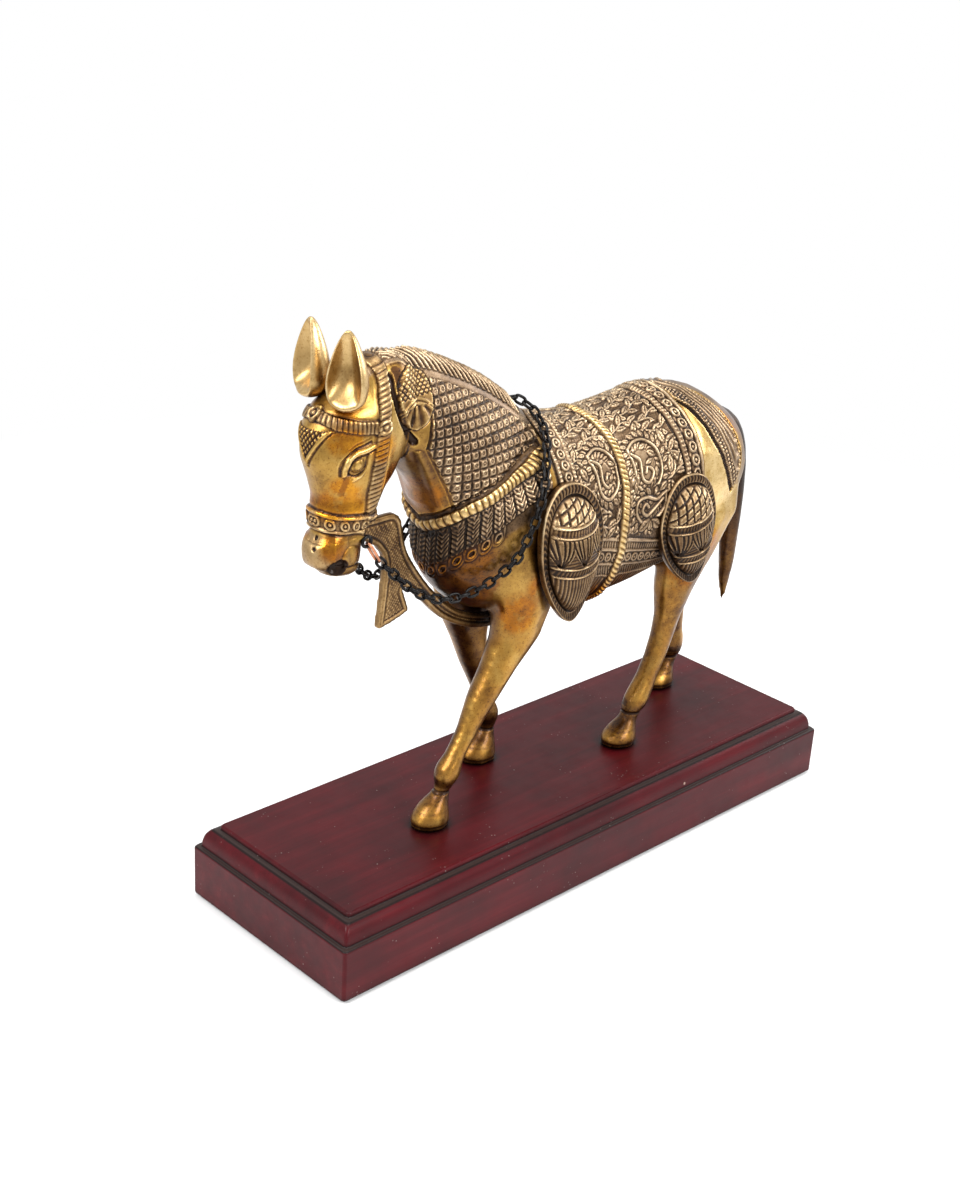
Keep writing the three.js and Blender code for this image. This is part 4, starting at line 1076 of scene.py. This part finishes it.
# The eye's lines as x and z on the side of the head, each from the inner corner to the outer
LID_CREASE = [
    (127.4, 168.9), (128, 172.2), (127.6, 175.1), (125.2, 177.4), (122.2, 179.5), (119.3, 180.3),
    (116, 181.4),
]
LID_RIDGE = [(126, 169.2), (126.5, 172.8), (125.4, 175.7), (122.4, 177.6), (118.1, 178.3), (114.8, 179.4)]
LID_UPPER = [(124.6, 168.9), (125, 172.4), (123.6, 174.9), (120.2, 176), (116.9, 176.7), (114.8, 178)]
LID_LOWER = [(124.6, 168.9), (121.6, 168), (118.8, 169.5), (117.6, 172), (117.2, 176.2)]
TEAR_LINE = [(124.6, 168.6), (125.2, 165.4), (126, 161)]
EYE_BALL, EYE_RADIUS = (121.5, 172.6), 2.9
PUPIL_RADIUS, PUPIL_SHIFT = 1.7, 0.3
CHEEK_SIDE = 6


def eyes():
    """A ball in a sunk almond under a heavy lid that sweeps up to the outer corner, and a tear line."""
    cheeks = on_head & (side > CHEEK_SIDE)
    socket = Patch(cheeks, x, z)
    socket.plateau(LID_UPPER + LID_LOWER[::-1], 1.0)
    press(socket, -0.35, -0.12)
    ball = np.hypot(socket.u - EYE_BALL[0], socket.v - EYE_BALL[1])
    pupil = np.hypot(socket.u - EYE_BALL[0] - PUPIL_SHIFT, socket.v - EYE_BALL[1] - PUPIL_SHIFT)
    relief[socket.rows] += socket.height * 1.1 * bump(ball, EYE_RADIUS)
    shade[socket.rows] += socket.height * 0.14 * bump(ball, 0.8 * EYE_RADIUS)
    shade[socket.rows] -= socket.height * 0.3 * bump(pupil - PUPIL_RADIUS, 0.45)
    lid = Patch(cheeks, x, z)
    lid.stroke(LID_RIDGE, 2.3, 0.9)
    lid.stroke(moved(LID_LOWER[1:4], 0.6, -1.5), 1.5, 0.4)
    press(lid, 1, 0.06)
    carved(cheeks, z, LID_CREASE, 1.5, 0.4, 0.2)
    carved(cheeks, z, LID_UPPER, 1.1, 0.35, 0.3)
    carved(cheeks, z, LID_LOWER, 1.1, 0.35, 0.3)
    carved(cheeks, z, moved(LID_CREASE[3:], 0, 1.7), 1.0, 0.15, 0.1)
    carved(cheeks, z, TEAR_LINE, 2.6, 0.1, 0.16)


MUZZLE_X = 116.5
MUZZLE_TOP_Z = 145
MUZZLE_CREASE = 0.62
NOSE_BULGE_Z, NOSE_DIP_Z = 134, 143.5
NOSE_PIT = 0.9
MOUTH_LINE_Z, MOUTH_SLOPE = 128.6, 0.05
MOUTH_BACK_X, MOUTH_LEVEL_X, MOUTH_FRONT_X = 111, 118, 125
MOUTH_HOLE, MOUTH_RADIUS = (125.4, 7.2, 129.6), 4.7
LIP = (119.8, 9.5, 133)
# Height and distance to the left of the two small pits in the nose
NOSE_PITS = [(142.2, 1.1), (137.9, 2.8)]


def muzzle():
    """Flat nose and sides that meet in a crease, small pits, the mouth's line, a hole with painted shadow in
    it, and the lip with a painted highlight.
    """
    front = on_head & (z < MUZZLE_TOP_Z)
    turn = np.arctan2(side, x - MUZZLE_X)
    below = step(MUZZLE_TOP_Z, 140, z) * step(124, 129, z)
    crease = np.clip(1 - abs(turn - MUZZLE_CREASE) / 0.5, 0, 1)
    emboss(front, below * (2.0 * crease - 0.8))
    bulge = bump(z - NOSE_BULGE_Z, 6) * step(0.7, 0.1, turn)
    emboss(front, 1.5 * bulge - 0.5 * bump(z - NOSE_DIP_Z, 3))
    for height, out in NOSE_PITS:
        pit = bump(np.hypot(y - out, z - height), NOSE_PIT)
        emboss(front & (x > 124), -0.8 * pit, -0.6 * pit)
    over_mouth = z - MOUTH_LINE_Z - MOUTH_SLOPE * (x - MOUTH_LEVEL_X)
    cut_groove(front & within(x, MOUTH_BACK_X, MOUTH_FRONT_X), over_mouth, 0.7, 0.6, 0.18)
    # Painted shadow in the mouth hole, reaching past the cut
    far = far_from(MOUTH_HOLE) / MOUTH_RADIUS
    emboss(on_head, -1.9 * step(1, 0.5, far), -1.2 * step(1.05, 0.85, far))
    # The lip's bulge, with a painted highlight on it
    far = far_from(LIP)
    emboss(on_head, 0.9 * bump(far, 5), 0.1 * bump(far, 4))


# The recess as x and z, from the top, and the heights of the seam behind the cheek
RECESS = [(104.5, 204), (104.2, 199), (103, 193), (100.2, 186), (96, 180), (92.5, 176)]
RECESS_SIDE = 4
HEAD_SEAM = (150, 204)


def jaw_shadow(crest, plaque):
    """Painted shadow in the deep recess where the cheek stands clear of the neck and behind the cheek strap,
    and in the seams at the head and the tail.
    """
    outer = side > RECESS_SIDE
    near = (on_head | on_neck) & outer
    carved(near, z, RECESS, 3.4, 1.6, 0.4)
    carved(near, z, moved(RECESS[:4], -3.4, 0), 6.5, 0.5, 0.26)
    # Painted shade behind the cheek strap, near the medallion
    poll = on_head & ~crest & ~plaque & outer & (x < 103)
    emboss(poll, tone=-0.3 * step(199, 202, z) - 0.16 * step(192, 186, z) * step(101, 97, x))
    # Painted shadow in the seams where the head and the tail meet the body
    head_seam, tail_seam = (1 - abs(2 * share_of[name] - 1) for name in ("head_casting", "tail"))
    emboss(within(z, *HEAD_SEAM) & outer, tone=-0.5 * head_seam)
    shade[:] -= 0.5 * tail_seam


# Tone and colour

WORK_ROUNDS = 4
CHEST = (66, 4, 112)
FACE_LOW_Z, CHEEK_Z = 152, 176
HOOF_TOP_Z, HOOF_SOLE_Z, PASTERN_Z = 15, 2.0, 14
SHANK = (20, 60)
chest_far = far_from(CHEST)
# Middle and radius of each amber stain
STAINS = [
    ((128, 11, 183), 8), ((123.5, 12.4, 182.6), 7), ((125, 9.4, 161.5), 10), ((121.6, 10.5, 155), 9),
    ((128.7, 6, 155.5), 9), ((127.4, 7.9, 139), 8), ((125, 12, 196), 9), ((104, 12, 164), 9),
    ((112, 9, 134), 8), ((110, 13.5, 178), 8), ((72, 6, 108), 14), ((80, 5, 150), 14), ((40, 24, 92), 14),
    ((-80, 24, 96), 12), ((-20, 12, 82), 24), ((-98, 12, 148), 14), ((30, 26, 104), 10), ((-70, 22, 84), 14),
]


def broad_tones():
    """Painted shade on the chest and on downward-facing skin, painted light on upward-facing skin, a lighter
    face, and a painted highlight on the nose.
    """
    # Painted shade on the chest
    emboss(on_body, tone=-0.14 * (1 - step(14, 34, chest_far)))
    # Painted light and shade by facing: lighter upward, darker downward
    shade[:] += 0.12 * np.clip(normals[:, 2], -1, 0.4)
    emboss(on_head & (z > FACE_LOW_Z), tone=0.12)
    emboss(on_head & (x < BROW_BACK_X), tone=0.1 * bump(z - CHEEK_Z, 16))
    # Painted highlight on the front of the nose
    emboss(on_head & (z < MUZZLE_TOP_Z) & (side < CHEEK_SIDE), tone=0.1)


def legs_and_tail():
    """Grooves round the hooves, dark pasterns, painted shade on the legs' inner and front sides, and a dark
    tail.
    """
    low = on_leg & (z < 30)
    cut_groove(low, z - HOOF_TOP_Z, 0.9, 0.35, 0.12)
    cut_groove(low, z - HOOF_SOLE_Z, 0.7, 0.2, 0.09)
    emboss(on_leg & (z < 8), tone=-0.1)
    emboss(on_leg, tone=-0.3 * bump(z - PASTERN_Z, 7))
    emboss(on_leg & within(z, *SHANK), tone=-0.05)
    # Painted shade on the sides that face in and forward
    inward = 0.7 * (normals[:, 0] - np.sign(y) * normals[:, 1])
    emboss(on_leg & (z > 18), tone=-0.22 * step(0.3, 0.9, inward))
    emboss(on_tail, tone=-0.34)


def stains():
    for middle, radius in STAINS:
        stain[:] = np.maximum(stain, 1.4 * (1 - step(0.3 * radius, radius, far_from(middle))))
    stain[:] += np.where(on_body & (over_rope < -16), 1.6 * (1 - step(16, 30, chest_far)), 0)
    low = on_leg & (z < 90)
    stain[low] = np.maximum(stain[low], 0.35)


def chased_ground(crest, plaque, bosses, croup):
    """Marks where the skin is chased all over, for its greyer colour."""
    cloth = on_body & (past_rear > -11) & (past_front < 6) & (band_arc < 97)
    collar = on_neck & within(over_rope, -18, ROPE_HALF + 1)
    brow = (abs(over_brow) < 3) & (x > BROW_BACK_X)
    straps = on_head & ((abs(past_strap) < 3) | brow | (abs(over_nose) < 4.4))
    ropes = on_neck & (abs(over_rope) < ROPE_HALF) | on_body & (abs(past_girth) < GIRTH_HALF)
    work[bosses | crest | collar | cloth | croup] = 1
    work[straps] = 0.6
    work[plaque] = 0.4
    work[ropes] = 0.3
    # Painted reflection: the front of the nose takes the greyer chased colour
    work[on_head & (z < 143) & (x > 125) & (side < 7)] = 0.6
    for _ in range(WORK_ROUNDS):
        work[:] = averaged(work[:, None], edges)[:, 0]


REIN_REACH = 8
REIN_CLEAR = 1.6
REIN_SHARE = 0.4


def clear_of_rein(name):
    """Keeps the relief low where a rein hangs close to the skin, so that it can swing."""
    rein = surface_of(name)
    for row in np.flatnonzero(on_neck & (relief > 0)):
        gap = rein.find_nearest(Vector(in_frame(points[row])), REIN_REACH * MM)[3]
        if gap:
            relief[row] = min(relief[row], REIN_SHARE * max(0, gap / MM - REIN_CLEAR))


def ornament():
    broad_tones()
    crest = mane()
    plaque = medallion()
    bosses = lattice(crest | plaque)
    collar_rope()
    collar_feathers()
    throat_folds()
    girth()
    borders()
    cloth_field()
    lower_bands()
    croup = crupper()
    bridle()
    forehead_pendant()
    eyes()
    muzzle()
    jaw_shadow(crest, plaque)
    legs_and_tail()
    stains()
    chased_ground(crest, plaque, bosses, croup)
    clear_of_rein("right_rein_span")


BODY_CUTS = (0.25, 0.5, 0.75)


def split_skin():
    """Cuts the skin into one piece for each casting, and the body across into four."""
    owner = np.stack([share_of[name] for name in HORSE], 1).argmax(1)
    body = owner == 0
    quarter = np.searchsorted(np.quantile(points[body, 0], BODY_CUTS), points[:, 0])
    pieces = [(name, name, owner == number) for number, name in enumerate(HORSE) if number > 0]
    for number in range(len(BODY_CUTS) + 1):
        pieces.append((f"{HORSE[0]}_{number + 1}", HORSE[0], body & (quarter == number)))
    faces = fetched(skin.polygons, "vertices", 4, np.int32)
    facing = normals_of(skin)
    tone = np.clip(tone_of(points, facing, edges) + shade, 0, 1)
    for piece, name, mine in pieces:
        used, corners = np.unique(faces[mine[faces[:, 0]]], return_inverse=True)
        mesh = bpy.data.meshes.new(name)
        mesh.from_pydata(in_frame(points[used]), [], corners.reshape(-1, 4).tolist())
        shade_smooth(mesh)
        mesh.normals_split_custom_set_from_vertices(facing[used].tolist())
        coloured(mesh, tone[used], stain[used], work[used])
        place(new_object(piece + "_cast", mesh), name, brass)


brass = brass_material()
ornament()
points = points + normals * relief[:, None]
set_coordinates(skin, points)
split_skin()
bpy.data.meshes.remove(skin)


# Smaller cast pieces

def finished(name, mesh, shading, work):
    """A piece of brass with the tone of its recesses and edges worked out from its shape."""
    shade_smooth(mesh)
    tone = tone_of(coordinates(mesh), normals_of(mesh), edges_of(mesh)) + shading
    coloured(mesh, np.clip(tone, 0, 1), np.zeros(len(tone)), np.full(len(tone), work))
    return new_object(name, mesh)


def closed_rings(name, points, columns):
    """A closed mesh: squares between rings of points, and a face over each end."""
    faces = []
    for start in range(0, len(points) - columns, columns):
        for column in range(columns):
            after = (column + 1) % columns
            faces.append((start + column, start + after, start + columns + after, start + columns + column))
    faces.append(tuple(range(columns)))
    faces.append(tuple(range(len(points) - columns, len(points))))
    mesh = bpy.data.meshes.new(name)
    mesh.from_pydata(in_frame(points), [], faces)
    part = bmesh.new()
    part.from_mesh(mesh)
    bmesh.ops.recalc_face_normals(part, faces=part.faces)
    part.to_mesh(mesh)
    part.free()
    mesh.update()
    return mesh


# Ears: leaf-shaped cups, open to the front and a little outward

EAR_ROOT = (126, 11, 194.5)
EAR_HEIGHT = 31
EAR_HALF_WIDE, EAR_HALF_DEEP = 8.5, 8
EAR_BOWL = 1.1
EAR_OPEN = 57
EAR_TURN = {1: 30, -1: 10}
EAR_BACK_POINTS, EAR_BOWL_POINTS = 18, 16
EAR_LEVELS = 3
# Share of the height, size, and depth of the hollow
EAR_ROWS = [
    (0, 0.33, 0), (0.05, 0.6, 0), (0.1, 0.8, 0.2), (0.18, 0.92, 0.55), (0.33, 1.0, 0.85), (0.52, 0.9, 0.92),
    (0.74, 0.64, 0.85), (0.9, 0.38, 0.6), (0.97, 0.2, 0.2), (1.0, 0.08, 0),
]


def ear_ring(size, depth):
    """One level of an ear, as distances ahead and to its left: the round back, then the bowl's hollow."""
    opening = math.radians(EAR_OPEN)
    wide = EAR_HALF_WIDE * size
    deep = EAR_HALF_DEEP * size
    ring = []
    for angle in np.linspace(opening, 2 * math.pi - opening, EAR_BACK_POINTS):
        ring.append((deep * math.cos(angle), wide * math.sin(angle)))
    for share in np.linspace(-1, 1, EAR_BOWL_POINTS)[1:-1]:
        ahead = deep * math.cos(share * opening)
        bowl = deep * (math.cos(opening) - EAR_BOWL * (1 - share ** 2))
        ring.append((ahead + depth * (bowl - ahead), wide * math.sin(share * opening)))
    return ring


def ear(name, hand):
    turn = math.radians(EAR_TURN[hand]) * hand
    points = []
    for height, size, depth in EAR_ROWS:
        ring = ear_ring(size, depth)
        for ahead, out in ring:
            px = EAR_ROOT[0] + ahead * math.cos(turn) - out * math.sin(turn)
            py = hand * EAR_ROOT[1] + ahead * math.sin(turn) + out * math.cos(turn)
            points.append((px, py, EAR_ROOT[2] + EAR_HEIGHT * height))
    mesh = subdivided(closed_rings(name, points, len(ring)), EAR_LEVELS)
    return finished(name + "_cast", mesh, 0.3, 0.35)


# Pads: thick shields hung over the shoulder and the hip, with a ribbed rim and a worked field

PAD_RINGS, PAD_SPOKES = 96, 260
PAD_FLANK = 28.5
PAD_SINK = 4
PAD_ROUNDS = 24
PAD_RAY_START = 60
PAD_FIELD = 0.83
PAD_RIM, PAD_DOME = 2.0, 9.4
PAD_RIM_MIDDLE = 0.93
PAD_RIM_RIBS = 64
PAD_SAG, PAD_FLARE, PAD_TAPER = 0.13, 0.2, 0.22
PAD_NET = 3.7
PAD_PETALS = (-0.62, 0, 0.62)
# Size and depth of the rings behind the rim
PAD_EDGE = ((1.004, 1.2), (1.004, -0.6), (0.97, -1.5))
# Heights of the two bands across each shield, as shares of its half height
PAD_BANDS = {"fore": (0.40, -0.17), "hind": (0.19, -0.40)}
# Middle x and z, width, height and lean in degrees
PADS = {"fore": (16, 116, 36, 62.5, 4), "hind": (-60.5, 109.3, 36, 55, 14)}
PAD_LEGS = {"fore": "foreleg", "hind": "hind_leg"}


def flank_distance(trees, hand, px, pz):
    """How far out the horse's side lies at this place, or 0 below its belly."""
    best = 0
    start = Vector(in_frame((px, hand * PAD_RAY_START, pz)))
    for tree in trees:
        hit = tree.ray_cast(start, Vector((0, -hand, 0)))[0]
        if hit:
            best = max(best, hand * (hit.y / MM - HORSE_PLACE[1]))
    return best


def pad_seat(trees, hand, px, pz, up):
    """How far out the back of a pad lies: on the horse's side, drawn smooth."""
    flank = np.array([[flank_distance(trees, hand, a, b) for a, b in zip(*row)] for row in zip(px, pz)])
    out = np.maximum(flank, PAD_FLANK - PAD_SINK * np.clip(up, 0, 1) ** 2)
    for _ in range(PAD_ROUNDS):
        ring = 0.5 * out + 0.25 * (np.roll(out, 1, 1) + np.roll(out, -1, 1))
        inner = np.vstack([ring[:1], ring[:-1]])
        outer = np.vstack([ring[1:], ring[-1:]])
        out = 0.5 * ring + 0.25 * (inner + outer)
    return out


def pad_relief(kind, across, up, size, angle, width, height):
    """A shield's own work: a netted dome, two ribbed bands, hanging petals between them and a fringe below.

    Returns its height and how dark its cut lines are."""
    side_mm = across * width / 2
    up_mm = up * height / 2
    upper, lower = PAD_BANDS[kind]
    level = up - PAD_SAG * across ** 2
    field = step(PAD_FIELD, PAD_FIELD - 0.03, size)
    top = field * step(upper + 0.09, upper + 0.11, level)
    cut = top * crossed(side_mm + 0.2 * up_mm, up_mm + 0.4 * side_mm, PAD_NET, 0.6)
    raised = 0.5 * top
    for middle in (upper, lower):
        off = (level - middle) * height / 2
        band = field * step(1.7, 1.4, abs(off))
        cut += band * (0.3 + 0.4 * wave((side_mm + 0.4 * off) / 1.6))
        raised += band * 0.3 + field * 0.75 * bump(abs(off) - 2.0, 0.5)
    share = np.clip((upper - 0.09 - level) / (upper - lower - 0.16), 0, 1)
    petals = field * step(0, 0.03, share) * step(1, 0.97, share)
    half = 0.31 * (1 - share ** 1.8) + 0.004
    nearest = np.min([abs(across - middle) for middle in PAD_PETALS], 0)
    for line in (1.0, 0.62, 0.26):
        cut += petals * 0.9 * bump((nearest - line * half) * width / 2, 0.55)
    raised += petals * 0.4
    cut += petals * step(1.2, 1.4, nearest / half) * (0.4 + 0.3 * wave(up_mm / 1.5))
    fringe = field * step(lower - 0.07, lower - 0.09, level)
    cut += fringe * 0.6 * wave(side_mm * (1 + 0.4 * (lower - up)) / 1.6)
    raised += fringe * 0.4
    rim = step(PAD_FIELD + 0.03, PAD_FIELD + 0.05, size) * step(0.985, 0.965, size)
    cut += rim * 0.6 * wave(PAD_RIM_RIBS * angle / (2 * math.pi) + 5 * abs(size - PAD_RIM_MIDDLE))
    return raised - 0.8 * cut, np.clip(cut, 0, 1)


def pad(name, hand, kind):
    middle_x, middle_z, width, height, lean = PADS[kind]
    side_word = name.split("_")[0]
    trees = [surface_of(node) for node in ("body_casting", f"{side_word}_{PAD_LEGS[kind]}")]
    sizes = np.linspace(0.02, 1, PAD_RINGS)[:, None]
    angle = np.linspace(0, 2 * np.pi, PAD_SPOKES, endpoint=False)[None, :]
    up = np.sin(angle) * sizes
    across = np.cos(angle) * sizes * (1 + PAD_FLARE * up) * (1 - PAD_TAPER * np.clip(-up, 0, 1) ** 2)
    tilt = math.radians(lean)
    side_mm = across * width / 2
    up_mm = up * height / 2
    px = middle_x + side_mm * math.cos(tilt) + up_mm * math.sin(tilt)
    pz = middle_z - side_mm * math.sin(tilt) + up_mm * math.cos(tilt)
    out = pad_seat(trees, hand, px, pz, up)
    dome = PAD_DOME * np.sqrt(1 - (0.97 * np.clip(sizes / PAD_FIELD, 0, 1)) ** 2)
    rim = PAD_RIM + 0.6 * bump(sizes - PAD_RIM_MIDDLE, 0.08)
    profile = np.where(sizes > PAD_FIELD, rim, dome) - 0.6 * bump(sizes - PAD_FIELD - 0.01, 0.02)
    raised, cut = pad_relief(kind, across, up, sizes, angle, width, height)
    rings = [np.stack([px, hand * (out + profile + raised), pz], 2)]
    for grow, depth in PAD_EDGE:
        edge_x = middle_x + (px[-1] - middle_x) * grow
        edge_z = middle_z + (pz[-1] - middle_z) * grow
        rings.append(np.stack([edge_x, hand * (out[-1] + depth), edge_z], 1)[None])
    mesh = closed_rings(name, np.vstack(rings).reshape(-1, 3), PAD_SPOKES)
    upper = PAD_BANDS[kind][0]
    dark = 0.05 - 0.22 * step(PAD_FIELD - 0.03, PAD_FIELD, sizes) - 0.16 * step(upper + 0.1, upper, up)
    dark = np.concatenate([(dark - 0.3 * cut).ravel(), np.full(len(PAD_EDGE) * PAD_SPOKES, -0.35)])
    return finished(name + "_cast", mesh, dark, 0.8)


# Martingale: a flat plate with an engraved border and a hatched field on both faces

PLATE_VOXEL = 0.75
PLATE_ROUNDS = 3
# Distances in from the plate's edge
PLATE_RIDGE, PLATE_GROOVE, PLATE_FIELD = 1.5, 2.6, 3.0


def martingale():
    coarse = remeshed(["martingale_plate"], PLATE_VOXEL, 0)
    relax(coarse, PLATE_ROUNDS)
    mesh = subdivided(coarse, 1)
    where = coordinates(mesh)
    facing = normals_of(mesh)[:, 1]
    walls = np.flatnonzero(abs(facing) < 0.4)
    tree = KDTree(len(walls))
    for number, row in enumerate(walls):
        tree.insert((where[row, 0], 0, where[row, 2]), number)
    tree.balance()
    px, _, pz = where.T
    inset = np.array([tree.find((a, 0, b))[2] for a, b in zip(px, pz)])
    raised = 0.28 * bump(inset - PLATE_RIDGE, 0.7) - 0.25 * bump(inset - PLATE_GROOVE, 0.5)
    hatch = wave((px + 0.7 * pz) / 1.5) * wave((px - 1.4 * pz + np.sin(pz)) / 2.4)
    raised += np.where(inset > PLATE_FIELD, 0.4 * hatch, 0)
    where[:, 1] += np.where(abs(facing) > 0.8, np.sign(facing) * raised, 0)
    set_coordinates(mesh, where)
    return finished("martingale_cast", mesh, -0.12, 0.55)


# Chain, rings and end links: the CAD wires made round

CHAIN_SWELL = 0.45
WIRE_LEVELS = 2


def round_wire(name):
    """A CAD wire with its corners rounded off, first swollen by what the rounding takes away."""
    part = swollen(name, CHAIN_SWELL)
    bmesh.ops.join_triangles(part, faces=part.faces, angle_face_threshold=0.7, angle_shape_threshold=3.1)
    mesh = subdivided(mesh_of(part, name), WIRE_LEVELS)
    shade_smooth(mesh)
    return new_object(name + "_wire", mesh)


# Base

BASE_ROUNDING = 0.5
SHARP_ANGLE, ROUNDED_ANGLE = 32, 40


def bevelled(name):
    mesh = mesh_of(swollen(name), name)
    shade_smooth(mesh)
    mesh.set_sharp_from_angle(angle=math.radians(SHARP_ANGLE))
    made = new_object(name + "_turned", mesh)
    rounding = made.modifiers.new("rounding", "BEVEL")
    rounding.width = BASE_ROUNDING * MM
    rounding.segments = 3
    rounding.limit_method = "ANGLE"
    rounding.angle_limit = math.radians(ROUNDED_ANGLE)
    made.modifiers.new("flat", "WEIGHTED_NORMAL").keep_sharp = True
    return made


def assembly():
    """All pieces but the horse's skin; felt, screws and washers keep their CAD shapes."""
    hands = (("left_", 1), ("right_", -1))
    for side_word, hand in hands:
        name = side_word + "ear"
        place(ear(name, hand), name, brass)
    for kind in PADS:
        for side_word, hand in hands:
            name = side_word + kind + "_pad"
            place(pad(name, hand, kind), name, brass)
    place(martingale(), "martingale_plate", brass)
    black = plain_metal("black_chain", (0.005, 0.004, 0.004), 0.16, 0.0, 0.17)
    copper = plain_metal("copper", (0.62, 0.27, 0.15), 0.3)
    for name in ("left_rein_span", "neck_chain", "right_rein_span", "left_bit_ring", "right_bit_ring"):
        place(round_wire(name), name, black)
    for name in ("left_end_link", "right_end_link"):
        place(round_wire(name), name, copper)
    place(bevelled("base_board"), "base_board", lacquered_wood())
    only_material(nodes["felt_pad"].data, felt_material())
    steel = plain_metal("steel", (0.45, 0.45, 0.46), 0.3)
    for name, node in nodes.items():
        if name.endswith(("_screw", "_washer")):
            only_material(node.data, steel)


# Camera, floor and light

SENSOR_WIDTH = 36
FLOOR_HALF = 6
FLOOR_FADE = (0.28, 0.62)
WORLD_LIGHT = 0.55


def camera():
    azimuth = math.radians(CAMERA_AZIMUTH)
    elevation = math.radians(CAMERA_ELEVATION)
    level = math.cos(elevation)
    back = Vector((math.sin(azimuth) * level, -math.cos(azimuth) * level, math.sin(elevation)))
    right = Vector((math.cos(azimuth), math.sin(azimuth), 0))
    turn = Matrix((right, back.cross(right), back)).transposed()
    turn = turn @ Matrix.Rotation(math.radians(CAMERA_ROLL), 3, "Z")
    data = bpy.data.cameras.new("camera")
    data.sensor_width = SENSOR_WIDTH
    data.lens = FOCAL_PIXELS / PHOTO_HEIGHT * SENSOR_WIDTH
    made = new_object("camera", data)
    made.matrix_world = Matrix.Translation(Vector(CAMERA_PLACE) * MM) @ turn.to_4x4()
    scene.camera = made


def lamp(name, place_mm, size, watts, aim=(0, 0, 120)):
    data = bpy.data.lights.new(name, "AREA")
    data.shape = "DISK"
    data.size = size * MM
    data.energy = watts
    made = new_object(name, data)
    made.location = Vector(place_mm) * MM
    made.rotation_euler = (Vector(aim) - Vector(place_mm)).to_track_quat("-Z", "Y").to_euler()


def floor():
    """Pale floor that keeps the shadow near the object and turns to the background's white further out."""
    corners = [(FLOOR_HALF * a, FLOOR_HALF * b, 0) for a, b in ((-1, -1), (1, -1), (1, 1), (-1, 1))]
    mesh = bpy.data.meshes.new("floor")
    mesh.from_pydata(corners, [], [(0, 1, 2, 3)])
    s = Shader("floor_white")
    s.set("Base Color", (0.93, 0.93, 0.93, 1))
    s.set("Roughness", 0.9)
    s.set("Specular IOR Level", 0.1)
    far = s.ranged(s.distance((0, 0, 0)), *FLOOR_FADE)
    white = s.node("ShaderNodeEmission").outputs[0]
    share = s.math("MULTIPLY", far, s.seen_rays())
    blend = s.node("ShaderNodeMixShader", {0: share, 1: s.surface.outputs[0], 2: white})
    s.feed(s.tree.nodes["Material Output"].inputs["Surface"], blend.outputs[0])
    mesh.materials.append(s.material)
    new_object("floor", mesh)


def world():
    """White where it is seen, and a softer white as light."""
    made = bpy.data.worlds.new("studio")
    scene.world = made
    made.use_nodes = True
    graph = Graph(made.node_tree)
    background = graph.tree.nodes["Background"].inputs
    graph.feed(background["Color"], (1, 1, 1, 1))
    graph.feed(background["Strength"], graph.ranged(graph.seen_rays(), 0, 1, WORLD_LIGHT, 1.0))


assembly()
camera()
floor()
world()
lamp("key", (1000, -150, 1000), 800, 15)
lamp("fill", (-150, 1150, 800), 700, 13)
lamp("top", (-150, 0, 1400), 900, 9, (0, 0, 0))
lamp("back", (-1150, 350, 480), 500, 5)
scene.view_settings.view_transform = "Standard"
